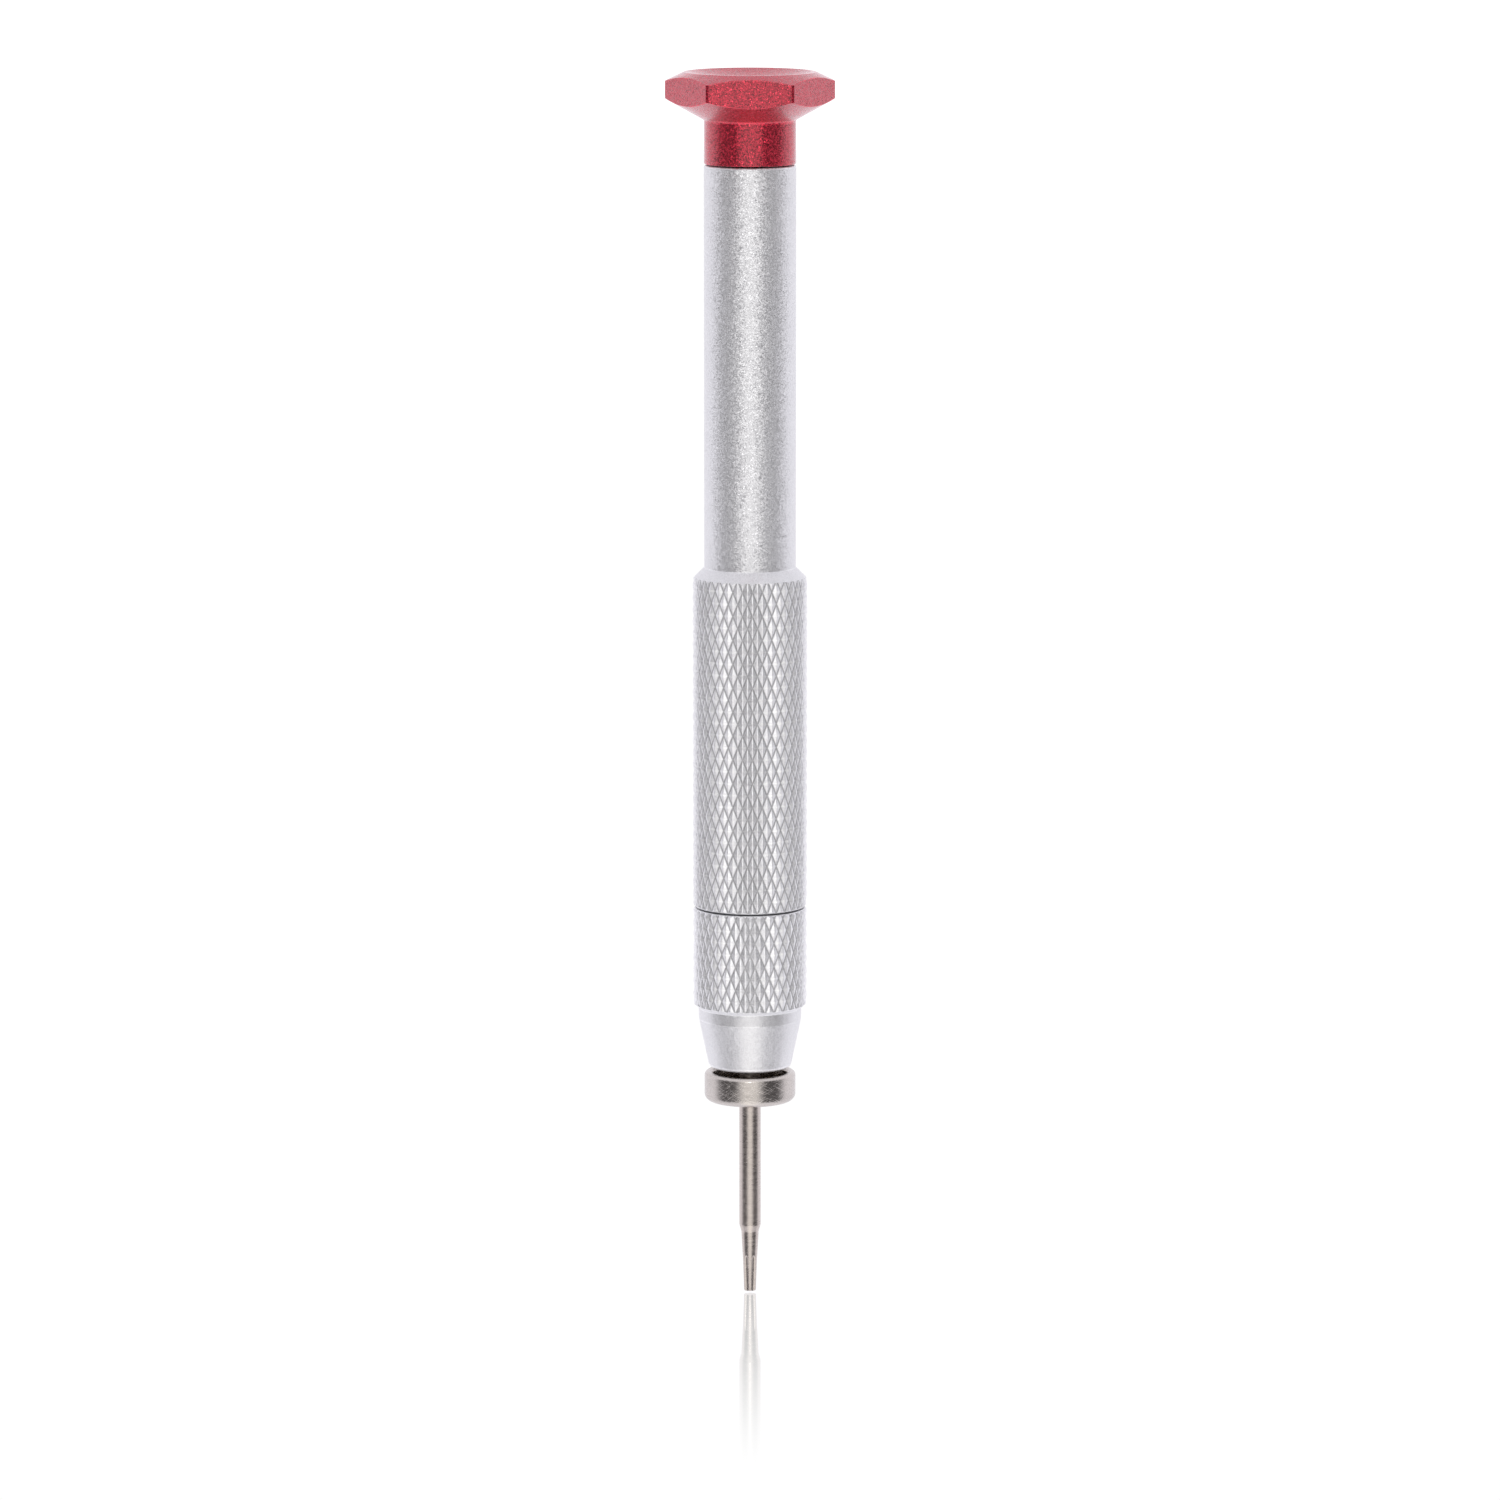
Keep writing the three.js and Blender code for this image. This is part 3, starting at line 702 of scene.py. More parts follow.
@dataclass
class Knurl:
    """Diamond knurl cut by two crossing families of helical grooves.

    Attributes:
        count: Grooves of each family round the axis.
        pitch: Height from one groove to the next of its family.
        depth: Depth of a groove below the crests.
        detail: Grid steps in half a diamond.
    """

    count: int = 35
    pitch: float = 2.30
    depth: float = 0.22
    detail: int = 4

    @property
    def columns(self) -> int:
        """Columns round the axis, so that every groove runs along the grid's diagonals."""
        return 2 * self.detail * self.count

    @property
    def step(self) -> float:
        """Height of one grid row."""
        return self.pitch / (2 * self.detail)

    def cut(self, angle: Array, height: Array) -> tuple[Array, Array, Array]:
        """Depth of the knurl: the deeper of the two grooves that pass nearby.

        A family's phase is count times angle / turn, plus or minus height / pitch. A groove lies at every
        whole phase, and its two walls rise evenly to half a phase away. Ridges lie where both are as deep.

        Args:
            angle: Angles in radians.
            height: Heights above the knurl's own start.

        Returns:
            Depth, closeness to a groove's floor and distance from a ridge, at each place.
        """
        around, along = self.count * angle / TURN, height / self.pitch
        away = [np.abs(phase - np.round(phase)) for phase in (around + along, around - along)]
        near = 1 - 2 * np.minimum(*away)
        return near * self.depth, near, np.abs(away[0] - away[1])

    def rows(self, high: float, fine: float) -> Array:
        """Heights of the grid's rows up to an end, on the knurl's own steps, finer near both ends."""
        steps = np.arange(1, math.floor((high - TINY) / self.step) + 1) * self.step
        ends = [np.arange(low, low + fine, self.step / 5) for low in (0.0, high - fine)]
        return np.unique(np.round(np.concatenate([steps, *ends, [0.0, high]]), 5))

    def split(self, heights: Array) -> Array:
        """Diagonal of each face between rows, so that grooves and crests are never cut across."""
        lowest = np.floor(heights[:-1] / self.step + 1e-3).astype(int)
        checks = (lowest[:, None] + np.arange(self.columns)[None, :]) % 2
        return np.where(checks == 0, 1, 2)

    def shell(self, parts: Sequence[tuple[Array, Array]], foot: float, heights: Array, crest: float,
              limit: Array, turn: float = 0.0, ring: bool = False) -> Shell:
        """Turned shell whose outline has a knurled wall between two plain parts.

        Args:
            parts: Points and edge marks of the plain part before the wall, and of the one after it.
            foot: Height at which the knurl's grid starts.
            heights: Heights of the wall's rows.
            crest: Radius of the crests.
            limit: Largest radius that each of the wall's rows may have.
            turn: Angle by which the knurl is turned round the axis.
            ring: True if the outline closes on itself.

        Returns:
            The closed shell.
        """
        before, after = parts
        angles = even(self.columns)
        depth, near, ridge = self.cut(angles[None, :] + turn, (heights - foot)[:, None])
        wall = np.minimum(crest - depth, limit[:, None])
        cut = wall > crest - depth - TINY
        outline = np.concatenate([before[0], profile(wall, heights[:, None]), after[0]])
        marks = np.concatenate([
            edge_marks(before[1], self.columns),
            mark(0.0, np.where(cut, near, 0.0), np.where(cut, ridge, 1.0), wall.shape),
            edge_marks(after[1], self.columns)])
        split = np.zeros((len(outline) - (0 if ring else 1), self.columns), int)
        first = len(before[0])
        split[first:first + len(heights) - 1] = self.split(heights - foot)
        return weave(carry(outline, angles), marks, ring, split)


@dataclass
class Handle(Assembly):
    """Barrel with its slim neck, shoulder, knurled grip and threaded spigot.

    Attributes:
        neck_radius: Radius of the slim part.
        neck_length: From the top to the shoulder.
        shoulder: Height and width of the 45 degree shoulder.
        grip_bottom: Height of the grip's lower face.
        chamfer: Chamfer of the grip's lower edge.
        bore: Radius of the collet's bore.
        stem_bore: Radius of the bore for the collet's stem.
        chamber_top: Height at which the bore narrows.
        stem_stop: Height of the stem bore's floor.
        screw_hole: Radius of the pivot screw's hole.
        screw_depth: Depth of that hole.
        thread_crest: Radius of the spigot's thread.
        thread_pitch: Its pitch.
        thread_depth: Depth of the thread.
        relief: Length of the plain neck above the thread.
        edge: Chamfer of the barrel's top edge.
        stem_point: Depth of the drill point above the stem's bore.
        screw_point: Depth of the drill point below the screw's hole.
        run_out: How far the knurl's grid rises past the shoulder's lower edge.
        fine: Length of the finer rows at each end of the knurl.
        knurl: The grip's knurl.
    """

    neck_radius: float = 4.38
    neck_length: float = 38.403
    shoulder: float = 1.115
    grip_bottom: float = 37.98
    chamfer: float = 0.24
    bore: float = 2.65
    stem_bore: float = 1.63
    chamber_top: float = 44.0
    stem_stop: float = 48.2
    screw_hole: float = 1.245
    screw_depth: float = 7.2
    thread_crest: float = 3.45
    thread_pitch: float = 0.5
    thread_depth: float = 0.27
    relief: float = 1.1
    edge: float = 0.12
    stem_point: float = 1.0
    screw_point: float = 0.8
    run_out: float = 0.35
    fine: float = 0.6
    knurl: Knurl = field(default_factory=Knurl)

    def build(self) -> None:
        """Makes the barrel and dresses the two pieces that the cap's bearing stands on."""
        bottom, top = height_of("barrel")
        radius = radius_of("barrel")
        shells = [self.body(radius, top), self.spigot(bottom)]
        self.add("barrel", shells, Body.HANDLE, Slot.STEEL, STEEL_FINISH)
        self.dress_node("pivot_screw", BLADE_FINISH)
        self.dress_node("bearing_spacer", BLADE_FINISH)

    def body(self, radius: float, top: float) -> Shell:
        """Barrel without its thread. The grip's chamfer and the shoulder's cone run out into the knurl."""
        columns = self.knurl.columns
        shoulder_top = top - self.neck_length
        grip_top = shoulder_top - self.shoulder
        inside = [
            Corner(0, self.stem_stop + self.stem_point),
            Corner(self.stem_bore, self.stem_stop),
            Corner(self.stem_bore, self.chamber_top),
            Corner(self.bore, self.chamber_top),
            Corner(self.bore, self.grip_bottom),
            Corner(radius - self.chamfer, self.grip_bottom, 0.03, 2),
            Corner(radius, self.grip_bottom + self.chamfer),
        ]
        outside = [
            Corner(radius, grip_top),
            Corner(self.neck_radius, shoulder_top, 0.05, 3),
            Corner(self.neck_radius, top - self.edge, 0.05, 3),
            Corner(self.neck_radius - self.edge, top, 0.05, 3),
            Corner(self.screw_hole, top),
            Corner(self.screw_hole, top - self.screw_depth),
            Corner(0, top - self.screw_depth - self.screw_point),
        ]
        start, start_marks = soften(inside, columns)
        finish, finish_marks = soften(outside, columns)
        parts = (start[:-2], start_marks[:-2]), (finish[1:], finish_marks[1:])
        high = grip_top - self.grip_bottom + self.run_out
        heights = self.knurl.rows(high, self.fine) + self.grip_bottom
        chamfer = radius - self.chamfer + (heights - self.grip_bottom)
        cone = radius - (heights - grip_top) * (radius - self.neck_radius) / self.shoulder
        return self.knurl.shell(parts, self.grip_bottom, heights, radius, np.minimum(chamfer, cone))

    def spigot(self, bottom: float) -> Shell:
        """Threaded spigot: its radius follows a triangle wave of height / pitch - angle / turn."""
        columns, rows_per_turn, fade = 96, 8, 0.3
        angles = even(columns)
        heights = np.arange(bottom, self.grip_bottom + 0.3, self.thread_pitch / rows_per_turn)
        phase = heights[:, None] / self.thread_pitch - angles[None, :] / TURN
        wave = 2 * np.abs(phase - np.round(phase))
        inside = np.minimum((heights - bottom) + 0.02, (self.grip_bottom - self.relief - heights))
        ends = inside.clip(0, fade) / fade
        outer = self.thread_crest - self.thread_depth + self.thread_depth * wave * ends[:, None]
        inner = profile(self.bore, heights[[-1, 0], None]).repeat(columns, 1)
        outline = np.concatenate([profile(outer, heights[:, None]), inner])
        return weave(carry(outline, angles), ring=True)


@dataclass
class Chuck(Assembly):
    """Nut with its nose, the black friction ring, the collet and its spring.

    Attributes:
        knurl_bottom: Height of the knurl's lower end.
        shelf: Height and radius at the top of the nose cylinder.
        cylinder: Height and radius at the bottom of the nose cylinder.
        cone: Height and radius at the bottom of the nose cone.
        mouth: Radius of the nut's mouth.
        chamfer: Chamfer of its upper edge.
        thread_radius: Radius of the nut's threaded bore.
        thread_bottom: Height of that bore's floor.
        ring_circle: Radius of the friction ring's centre line.
        ring_section: Radius of its section.
        seat: Half the width of its seat.
        bore: Radius of the nut's bore above its cone.
        jaw_top: Height to which the collet is slotted.
        slot_width: Width of a slot.
        jaw_bore: Radius of the collet's bore.
        jaw_bore_top: Height of that bore's top.
        cone_top: Height at which the jaws have their full radius.
        stem: Radius of the collet's stem.
        body_top: Height of the collet's body.
        wire: Radius of the spring's wire.
        coil: Radius of its coils' centre line.
        turns: Number of its turns.
        lead: How far below the knurl its grid starts.
        fine: Length of the finer rows at each end of the knurl.
        jaw_bore_point: Depth of the drill point above the jaws' bore.
        gap: Clearance of the jaws and of the collet's body in the nut.
        knurl_turn: Angle between the nut's knurl and the grip's, in radians.
        knurl: The nut's knurl.
    """

    knurl_bottom: float = 28.516
    shelf: tuple[float, float] = (28.054, 4.96)
    cylinder: tuple[float, float] = (26.943, 4.93)
    cone: tuple[float, float] = (22.4, 3.98)
    mouth: float = 2.25
    chamfer: float = 0.24
    thread_radius: float = 3.5
    thread_bottom: float = 30.0
    ring_circle: float = 4.3
    ring_section: float = 0.36
    seat: float = 0.42
    bore: float = 2.65
    jaw_top: float = 31.4
    slot_width: float = 0.36
    jaw_bore: float = 1.06
    jaw_bore_top: float = 38.6
    cone_top: float = 26.5
    stem: float = 1.58
    body_top: float = 33.5
    wire: float = 0.24
    coil: float = 2.12
    turns: int = 6
    lead: float = 0.3
    fine: float = 0.7
    jaw_bore_point: float = 0.6
    gap: float = 0.05
    knurl_turn: float = 0.04
    knurl: Knurl = field(default_factory=Knurl)

    def build(self) -> None:
        """Makes the four pieces."""
        self.add("chuck_nut", [self.nut()], Body.NUT, Slot.STEEL, NOSE_FINISH)
        self.add("chuck_o_ring", [self.friction_ring()], Body.NUT, Slot.RUBBER, RUBBER_FINISH)
        self.add("collet", self.collet(), Body.COLLET, Slot.BRASS, BRASS_FINISH)
        self.add("collet_spring", [self.spring()], Body.COLLET, Slot.SPRING, SPRING_FINISH)

    def nut(self) -> Shell:
        """Nut: a closed outline, with the knurl cut out of its sleeve between a chamfer and a lower cone."""
        bottom, top = height_of("chuck_nut")
        radius = radius_of("chuck_nut")
        columns = self.knurl.columns
        seat_low = top - 2 * self.ring_section
        seat_in, seat_out = self.ring_circle - self.seat, self.ring_circle + self.seat
        lower = [
            Corner(self.mouth, bottom),
            Corner(self.cone[1] - 0.05, bottom, 0.38, 6),
            Corner(self.cylinder[1], self.cylinder[0], 0.06, 3),
            Corner(self.shelf[1], self.shelf[0], 0.05, 3),
            Corner(radius, self.knurl_bottom),
        ]
        upper = [
            Corner(radius, top - self.chamfer),
            Corner(radius - self.chamfer, top, 0.03, 2),
            Corner(seat_out, top, 0.03, 2),
            Corner(seat_out, seat_low),
            Corner(seat_in, seat_low),
            Corner(seat_in, top),
            Corner(self.thread_radius, top),
            Corner(self.thread_radius, self.thread_bottom),
            Corner(self.bore, self.thread_bottom),
            Corner(self.bore, self.cone_top),
        ]
        start, start_marks = soften(lower, columns)
        finish, finish_marks = soften(upper, columns)
        parts = (start[:-1], start_marks[:-1]), (finish[2:], finish_marks[2:])
        foot = self.knurl_bottom - self.lead
        heights = self.knurl.rows(top - foot, self.fine) + foot
        slope = (radius - self.shelf[1]) / (self.knurl_bottom - self.shelf[0])
        cone = radius + (heights - self.knurl_bottom) * slope
        chamfer = radius - self.chamfer + (top - heights)
        limit = np.minimum(chamfer, cone)
        return self.knurl.shell(parts, foot, heights, radius, limit, self.knurl_turn, True)

    def friction_ring(self) -> Shell:
        """Round-section ring: a circle carried round the axis."""
        middle = height_of("chuck_o_ring")[1] - self.ring_section
        return turned(arc(self.ring_circle, middle, self.ring_section, even(24)), 96, ring=True)

    def collet(self) -> list[Shell]:
        """Collet: four jaws, each a quarter ring carried up the axis, joined to a body with a stem."""
        bottom, top = height_of("collet")
        nose_end = height_of("chuck_nut")[0]
        mouth = self.mouth - self.gap
        outer_radius = self.bore - self.gap
        body = turned([
            Corner(0, self.jaw_bore_top + self.jaw_bore_point),
            Corner(self.jaw_bore, self.jaw_bore_top),
            Corner(self.jaw_bore, self.jaw_top),
            Corner(outer_radius, self.jaw_top),
            Corner(outer_radius, self.body_top, 0.08, 2),
            Corner(self.stem, self.body_top),
            Corner(self.stem, top, 0.1, 2),
            Corner(0, top),
        ], 64)
        heights = np.array([
            bottom, bottom + 0.02, bottom + 0.06, bottom + 0.14, nose_end,
            *np.linspace(nose_end, self.cone_top, 6)[1:], self.jaw_top + 0.2])
        outer = np.interp(heights, [nose_end, self.cone_top], [mouth, outer_radius])
        outer[:4] -= np.array([0.12, 0.06, 0.025, 0.0])
        inner = np.full(len(heights), self.jaw_bore)
        inner[:3] += np.array([0.08, 0.04, 0.012])
        return [body] + [self.jaw(quarter, heights, inner, outer) for quarter in range(4)]

    def jaw(self, quarter: int, heights: Array, inner: Array, outer: Array) -> Shell:
        """One jaw: out along one slot's side, round the outside, back along the next slot and round the bore.

        A slot's side lies half a slot's width from a plane through the axis, so its angle at radius r is
        asin(half width / r).

        Args:
            quarter: Which of the four jaws.
            heights: Height of each row.
            inner: Inner radius of each row.
            outer: Outer radius of each row.

        Returns:
            The closed jaw.
        """
        half = self.slot_width / 2
        share = np.linspace(0, 1, 13)[None, :]
        rings = []
        for radius, forwards in ((outer, True), (inner, False)):
            lean = np.arcsin(half / radius)[:, None]
            sweep = lean + (math.pi / 2 - 2 * lean) * (share if forwards else 1 - share)
            rings.append(radius[:, None, None] * np.stack([np.cos(sweep), np.sin(sweep)], axis=-1))
        section = np.concatenate(rings, axis=1)
        turn = quarter * math.pi / 2
        x = section[..., 0] * math.cos(turn) - section[..., 1] * math.sin(turn)
        y = section[..., 0] * math.sin(turn) + section[..., 1] * math.cos(turn)
        z = np.broadcast_to(heights[:, None], x.shape)
        return ended(np.stack([x, y, z], axis=-1))

    def spring(self) -> Shell:
        """Coil spring: a circle carried along a helix whose end turns lie flat."""
        low, high = height_of("collet_spring")
        wire, turns = self.wire, self.turns
        along = np.linspace(0, 1, 400)
        flat = 2 * wire / (high - low)
        rise = np.interp(along * turns, [0, 1, turns - 1, turns], [0, flat, 1 - flat, 1])
        height = low + wire + (high - low - 2 * wire) * rise
        around = even(12)
        outline = profile(self.coil + wire * np.cos(around), height[:, None] + wire * np.sin(around))
        return ended(carry(outline, TURN * turns * along[:, None]))


@dataclass
class Cap(Assembly):
    """Turning cap: dished top, six flats, conical underside and neck.

    Attributes:
        across_flats: Width between opposite flats.
        rim: Outer radius of the rim.
        rim_width: Width of the rim.
        dish: Depth of the finger dish.
        disc_top: Height of the disc's top edge at its full radius, below the cap's top.
        disc_bottom: Height of its lower edge, below the cap's top.
        slope: Slope of the underside.
        neck: Radius of the neck.
        seat: Radius of the bearing's seat.
        seat_top: Height of the seat's top.
        head_room: Radius of the room for the pivot screw's head.
        head_top: Height of that room's top.
        flat_columns: Columns on each flat.
    """

    across_flats: float = 14.09
    rim: float = 6.25
    rim_width: float = 0.25
    dish: float = 1.15
    disc_top: float = 0.849
    disc_bottom: float = 2.52
    slope: float = math.tan(math.radians(29))
    neck: float = 4.37
    seat: float = 3.515
    seat_top: float = 113.015
    head_room: float = 2.88
    head_top: float = 114.45
    flat_columns: int = 33

    def angles(self, radius: float) -> Array:
        """Angles of the columns, with one on each edge of each flat."""
        half = math.acos(self.across_flats / 2 / radius)
        flat = np.linspace(-half, half, self.flat_columns)
        strip = np.linspace(half, math.pi / 3 - half, 4)[1:-1]
        one = np.concatenate([flat, strip])
        return (one[None, :] + np.arange(6)[:, None] * math.pi / 3 - math.pi / 2).ravel()

    def build(self) -> None:
        """Makes the cap: at each angle the disc's radius is the smaller of its full radius and the flat's."""
        bottom, top = height_of("swivel_cap")
        full = radius_of("swivel_cap")
        angles = self.angles(full)
        off = (angles + math.pi / 2 + math.pi / 6) % (math.pi / 3) - math.pi / 6
        reach = np.minimum(full, self.across_flats / 2 / np.cos(off))
        low = top - self.disc_bottom - self.slope * (full - reach)
        chamfer = self.disc_top / (full - self.rim)
        high = top - self.disc_top + chamfer * (full - reach)
        inner = self.rim - self.rim_width
        sphere = (inner ** 2 + self.dish ** 2) / (2 * self.dish)
        dish_radii = inner * np.cos(np.linspace(0, math.pi / 2, 16))[1:-1]
        dish = [Corner(r, top - self.dish + sphere - math.sqrt(sphere ** 2 - r ** 2)) for r in dish_radii]
        outline, edges = soften([
            Corner(0, self.head_top),
            Corner(self.head_room, self.head_top),
            Corner(self.head_room, self.seat_top),
            Corner(self.seat, self.seat_top),
            Corner(self.seat, bottom, 0.03, 2),
            Corner(self.neck, bottom, 0.1, 4),
            Corner(self.neck, top - self.disc_bottom - self.slope * (full - self.neck), 0.2, 6),
            Corner(reach, low, 0.06, 4),
            Corner(reach, high, 0.06, 4),
            Corner(self.rim, top, 0.05, 3),
            Corner(inner, top, 0.05, 3),
            *dish,
            Corner(0, top - self.dish),
        ], len(angles))
        shell = weave(carry(outline, angles), edge_marks(edges, len(angles)))
        self.add("swivel_cap", [shell], Body.CAP, Slot.RED, CAP_FINISH, sharp=20.0)


@dataclass
class Bearing(Assembly):
    """Ball bearing in the cap: races, shields, cage and balls.

    Attributes:
        ball: Radius of a ball.
        circle: Radius of the circle that the balls' centres lie on.
        groove: Radius of the races' grooves.
        lip: From that circle to each race's lip.
        bore: Radius of the inner race's bore.
        cover: From that circle in to a shield's inner edge.
        balls: Number of balls.
    """

    ball: float = 0.6
    circle: float = 2.5
    groove: float = 0.645
    lip: float = 0.38
    bore: float = 1.5
    cover: float = 0.33
    balls: int = 7

    def build(self) -> None:
        """Makes every piece of the bearing."""
        low, high = height_of("bearing_outer_race")
        middle = (low + high) / 2
        races = ("bearing_inner_race", -1, Body.HANDLE), ("bearing_outer_race", 1, Body.CAP)
        for name, side, body in races:
            self.add(name, [self.race(name, side, low, high)], body, Slot.BEARING, BEARING_FINISH)
        for name in ("bearing_shield_upper", "bearing_shield_lower"):
            self.add(name, [self.shield(name)], Body.CAP, Slot.BEARING, BEARING_FINISH)
        for number in range(self.balls):
            turn = TURN * number / self.balls
            centre = np.array([self.circle * math.cos(turn), self.circle * math.sin(turn), middle])
            name = f"bearing_ball_{number + 1}"
            self.add(name, [self.sphere(centre)], Body.BALLS, Slot.BEARING, BEARING_FINISH, sharp=60.0)
        self.dress_node("bearing_cage", CAGE_FINISH)

    def race(self, name: str, side: int, low: float, high: float) -> Shell:
        """Race: a ring with a groove whose section is an arc about the balls' centres.

        Args:
            name: Name of the node.
            side: -1 for the race inside the balls' circle, 1 for the one outside it.
            low: Height of its lower face.
            high: Height of its upper face.

        Returns:
            The closed race.
        """
        wall = self.bore if side < 0 else radius_of(name)
        lip = self.circle + side * self.lip
        half = math.acos(self.lip / self.groove)
        swing = np.linspace(-half, half, 17)
        groove = arc(self.circle, (low + high) / 2, self.groove, swing if side > 0 else math.pi - swing)
        return turned([
            Corner(wall, high, 0.1, 3), Corner(wall, low, 0.1, 3), Corner(lip, low, 0.04, 2),
            *groove, Corner(lip, high, 0.04, 2)], 96, ring=True)

    def shield(self, name: str) -> Shell:
        """Pressed shield: a flat ring with softened edges."""
        low, high = height_of(name)
        outer = radius_of(name)
        inner = self.circle - self.cover
        return turned([
            Corner(inner, low, 0.03, 2), Corner(outer, low, 0.03, 2),
            Corner(outer, high, 0.03, 2), Corner(inner, high, 0.03, 2)], 96, ring=True)

    def sphere(self, centre: Array) -> Shell:
        """Ball: latitude and longitude round its centre."""
        latitude = np.linspace(-math.pi / 2, math.pi / 2, 17)[:, None]
        outline = profile(self.ball * np.cos(latitude), self.ball * np.sin(latitude))
        outline[[0, -1], :, 0] = 0
        return weave(carry(outline, even(32)) + centre)


@dataclass
class Blade(Assembly):
    """Blade with its star tip, and the collar fixed on it.

    Attributes:
        tip: Radius across the lobes at the end face.
        bevel: Bevel of the end face.
        star_top: Height and radius where the flutes end.
        taper_top: Height and radius at the top of the taper.
        step_top: Height at which the shaft has its full radius.
        lobes: Number of lobes.
        cutter: Radius of the cutter that forms a flute.
        root: Distance from the axis to a flute's floor at the tip.
        lean: How fast the floor moves outwards, up the blade.
        runout: Length over which a flute ends.
        recess: Radius of the collar's recess.
        recess_floor: Height of its floor.
        rim: Radius of the collar's rounded rim.
        foot: Radius of its rounded lower edge.
        chamfer: Chamfer of the shaft's hidden end.
        clearance: Gap between the shaft and the collar's bore.
    """

    tip: float = 0.62
    bevel: float = 0.1
    star_top: tuple[float, float] = (3.49, 0.71)
    taper_top: tuple[float, float] = (5.9, 0.84)
    step_top: float = 6.56
    lobes: int = 6
    cutter: float = 0.33
    root: float = 0.45
    lean: float = 0.053
    runout: float = 0.6
    recess: float = 3.57
    recess_floor: float = 19.9
    rim: float = 0.41
    foot: float = 0.7
    chamfer: float = 0.24
    clearance: float = 0.015

    def build(self) -> None:
        """Makes the blade and its collar."""
        self.add("blade", [self.shaft()], Body.BLADE, Slot.BLADE, BLADE_FINISH)
        self.add("blade_collar", [self.collar()], Body.BLADE, Slot.NICKEL, NICKEL_FINISH)

    def shaft(self) -> Shell:
        """Turned shaft whose radius near the tip is the smaller of the taper's and the flutes'."""
        bottom, top = height_of("blade")
        radius = radius_of("blade")
        columns = self.lobes * 32
        fine = np.linspace(self.bevel, self.star_top[0] + self.runout, 84)
        heights, radii = zip((self.bevel, self.tip), self.star_top, self.taper_top)
        outline, edges = soften([
            Corner(0, bottom),
            Corner(self.tip - self.bevel, bottom),
            *[Corner(float(np.interp(z, heights, radii)), float(z)) for z in fine],
            Corner(self.taper_top[1], self.taper_top[0], 0.06, 2),
            Corner(radius, self.step_top, 0.06, 2),
            Corner(radius, top - self.chamfer, 0.05, 2),
            Corner(radius - self.chamfer, top, 0.05, 2),
            Corner(0, top),
        ], columns)
        angles = self.spread(outline, columns)
        outline[..., 0] = np.minimum(outline[..., 0], self.flute(angles, outline[..., 1]))
        return weave(carry(outline, angles), edge_marks(edges, columns))

    def cut(self, height: Array) -> tuple[Array, Array]:
        """Distance of the cutter's centre from the axis, and its radius, which shrinks over the run-out."""
        late = np.clip((height - self.star_top[0] + self.runout / 2) / self.runout, 0, 1)
        return self.root + self.cutter + self.lean * height, self.cutter * np.sqrt(1 - late ** 2)

    def spread(self, outline: Array, columns: int) -> Array:
        """Angles of the columns at each height, so that a column runs along each edge of a flute.

        A cutter of radius q, centred c from the axis, leaves a shaft of radius r at an angle d from the
        flute's middle, where cos d = (c^2 + r^2 - q^2) / 2cr. Half of a sector's columns lie within it.

        Args:
            outline: Rows by columns by 2, radius and height, before the flutes are cut.
            columns: Number of columns.

        Returns:
            Angles in radians, rows by columns.
        """
        sector = TURN / self.lobes
        radius = np.maximum(outline[:, :1, 0], 0.01)
        centre, size = self.cut(outline[:, :1, 1])
        cosine = (centre ** 2 + radius ** 2 - size ** 2) / (2 * centre * radius)
        edge = np.clip(np.arccos(np.clip(cosine, -1, 1)), 0.02, sector / 2 - 0.03)
        turn = np.arange(columns)[None, :] * self.lobes / columns
        place = (turn + 0.5) % 1 - 0.5
        far = np.abs(place) * 4
        half = np.where(far < 1, far * edge, edge + (far - 1) * (sector / 2 - edge))
        return (turn - place) * sector + np.sign(place) * half

    def flute(self, angle: Array, height: Array) -> Array:
        """Radius that the nearest flute leaves.

        At an angle d from the flute's middle, the near side of a cutter of radius q, centred c from the axis,
        is at c cos d - sqrt(q^2 - c^2 sin^2 d).

        Args:
            angle: Angles in radians.
            height: Heights.

        Returns:
            Radius left, very large where no flute reaches.
        """
        sector = TURN / self.lobes
        off = (angle + sector / 2) % sector - sector / 2
        centre, size = self.cut(height)
        under = size ** 2 - (centre * np.sin(off)) ** 2
        return np.where(under > 0, centre * np.cos(off) - np.sqrt(np.clip(under, 0, None)), 99.0)

    def collar(self) -> Shell:
        """Cup with a full round rim and a rounded foot."""
        bottom, top = height_of("blade_collar")
        radius = radius_of("blade_collar")
        bore = radius_of("blade") + self.clearance
        rim = arc(radius - self.rim, top - self.rim, self.rim, np.linspace(0, math.pi, 17))
        foot = arc(radius - self.foot, bottom + self.foot, self.foot, np.linspace(-math.pi / 2, 0, 10))
        shell = turned([
            Corner(bore, bottom, 0.05, 2), *foot, *rim,
            Corner(self.recess, self.recess_floor, 0.2, 4),
            Corner(bore, self.recess_floor, 0.03, 2)], 160, ring=True)
        across, height = np.hypot(shell.points[:, 0], shell.points[:, 1]), shell.points[:, 2]
        deep = (height > self.recess_floor - 0.01) & (height < top - self.rim - 0.01)
        # The recess is marked as a groove's floor so that its finish paints brown shade inside it.
        shell.marks[:, 1] = deep & (across < self.recess + 0.02)
        return shell


# ----------------------------------------------------------------------------------------------------
# Studio


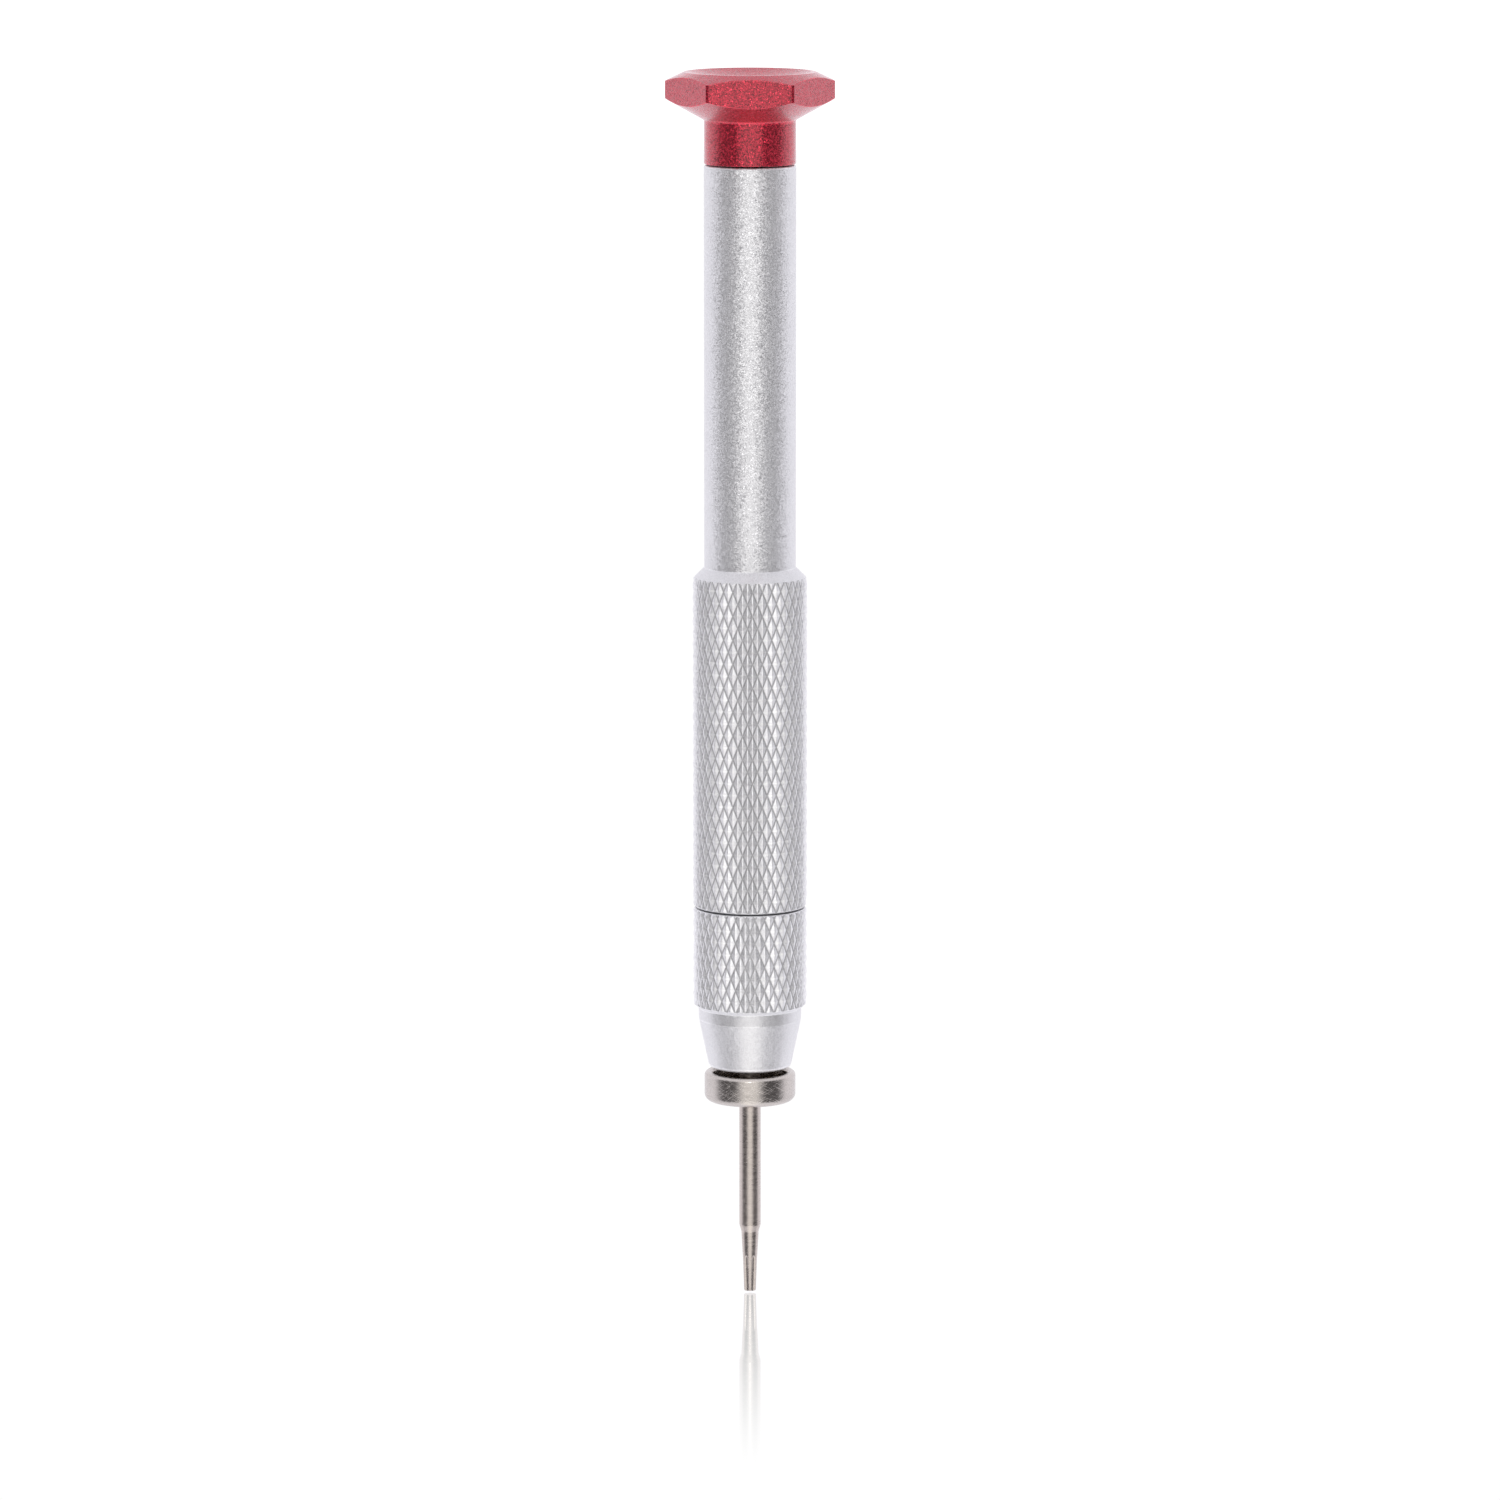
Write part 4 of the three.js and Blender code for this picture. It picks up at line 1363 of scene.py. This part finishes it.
@dataclass
class Studio:
    """Camera, floor and soft light.

    Attributes:
        distance: From the camera to the point that it looks at, in metres.
        elevation: How far the camera stands above that point, in degrees.
        aim: Height of that point, in metres.
        lens: Focal length, in millimetres.
        floor: Half the floor's width, in metres.
    """

    distance: float = 0.6912
    elevation: float = 9.0
    aim: float = 0.0531
    lens: float = 172.8
    floor: float = 1.5

    def build(self) -> None:
        """Makes all of it."""
        self.camera()
        self.ground()
        self.surroundings()
        self.softbox("front_softbox", (0.0, -0.75, 0.22), (0.14, 0.16), 0.35)
        bpy.context.scene.view_settings.view_transform = "Standard"

    def camera(self) -> None:
        """Camera level with the axis, looking slightly down."""
        data = bpy.data.cameras.new("camera")
        data.lens = self.lens
        data.clip_start = 0.01
        camera = bpy.data.objects.new("camera", data)
        bpy.context.scene.collection.objects.link(camera)
        down = math.radians(self.elevation)
        camera.location = (0, -self.distance * math.cos(down), self.aim + self.distance * math.sin(down))
        camera.rotation_euler = (math.pi / 2 - down, 0, 0)
        bpy.context.scene.camera = camera

    def ground(self) -> None:
        """White floor, with a narrow strip of gloss that fades from the driver's foot towards the camera."""
        half = self.floor
        mesh = bpy.data.meshes.new("floor")
        corners = [(-half, -half, 0), (half, -half, 0), (half, half, 0), (-half, half, 0)]
        mesh.from_pydata(corners, [], [(0, 1, 2, 3)])
        floor = bpy.data.objects.new("floor", mesh)
        bpy.context.scene.collection.objects.link(floor)
        floor.location = (0, 0, -0.0002)
        floor.visible_glossy = False
        material = bpy.data.materials.new("white_floor")
        recipe = Recipe(material)
        place = recipe.value("TexCoord", out="Object")
        away = recipe.value("VectorMath", {"operation": "LENGTH"}, "Value", i0=place)
        x, y, _ = recipe.parts(place)
        strip = x.math("ABSOLUTE").smooth(0.008, 0.003) * y.smooth(0.006, 0.001)
        near = away.smooth(0.074, 0.0) * strip * 0.5
        seen = recipe.value("LightPath", out="Is Camera Ray")
        white = recipe.node("Emission", None, Color=recipe.mix(seen, grey(1.0), grey(1.02)))
        gloss = recipe.node("BsdfGlossy", None, Color=grey(1.0), Roughness=0.03)
        mixed = recipe.node("MixShader", None, i0=near, i1=white.outputs[0], i2=gloss.outputs[0])
        recipe.finish("OutputMaterial", mixed)
        mesh.materials.append(material)

    def surroundings(self) -> None:
        """White room with a dark card to each side of the camera, seen only in reflections."""
        world = bpy.data.worlds.new("studio")
        bpy.context.scene.world = world
        world.use_nodes = True
        recipe = Recipe(world)
        wall, high_wall, card = (1.0, 0.985, 1.04, 1.0), (0.88, 0.87, 0.91, 1.0), (0.12, 0.115, 0.12, 1.0)
        warm, high_warm = (1.0, 0.98, 0.96), (1.2, 1.18, 1.2, 1.0)
        x, y, z = recipe.parts(recipe.value("TexCoord", out="Generated"))
        flat = (x * x + y * y + 1e-6).math("SQRT")
        facing = (y * -1.0) / flat
        front = facing.smooth(0.78, 0.98)
        behind = facing.smooth(0.31, -0.28)
        reach = z.smooth(0.62, 0.35) * z.smooth(-0.8, -0.4)
        dark = (1.0 - front) * (1.0 - behind) * reach
        level = z.smooth(-0.25, -0.5) * 0.4 + 0.95
        room = recipe.mix(front, wall, recipe.scaled(warm, level))
        above = recipe.mix(front, high_wall, high_warm)
        lifted = recipe.mix(z.smooth(0.35, 0.8), room, above)
        shaded = recipe.mix(dark, lifted, card)
        seen = recipe.value("LightPath", out="Is Camera Ray")
        background = recipe.node("Background", None, Color=recipe.mix(seen, shaded, grey(1.2)), Strength=1.0)
        recipe.finish("OutputWorld", background)

    def softbox(self, name: str, place: tuple[float, float, float], size: tuple[float, float],
                watts: float) -> None:
        """Rectangular soft light that faces the driver's middle."""
        data = bpy.data.lights.new(name, "AREA")
        data.shape = "RECTANGLE"
        data.size, data.size_y = size
        data.energy = watts
        light = bpy.data.objects.new(name, data)
        bpy.context.scene.collection.objects.link(light)
        light.location = place
        back = np.array(place) - np.array([0, 0, self.aim])
        pitch = math.atan2(math.hypot(back[0], back[1]), back[2])
        light.rotation_euler = (pitch, 0, math.atan2(back[0], -back[1]))
        light.visible_camera = False


def main() -> None:
    """Builds the studio and each sub-assembly in order, and reports every piece."""
    logging.basicConfig(level=logging.INFO, format="%(name)s %(message)s")
    Studio().build()
    for assembly in (Blade(), Chuck(), Handle(), Cap(), Bearing()):
        assembly.build()
        log.info("%s done, %d pieces", type(assembly).__name__, len(assembly.made))


if __name__ == "__main__":
    main()
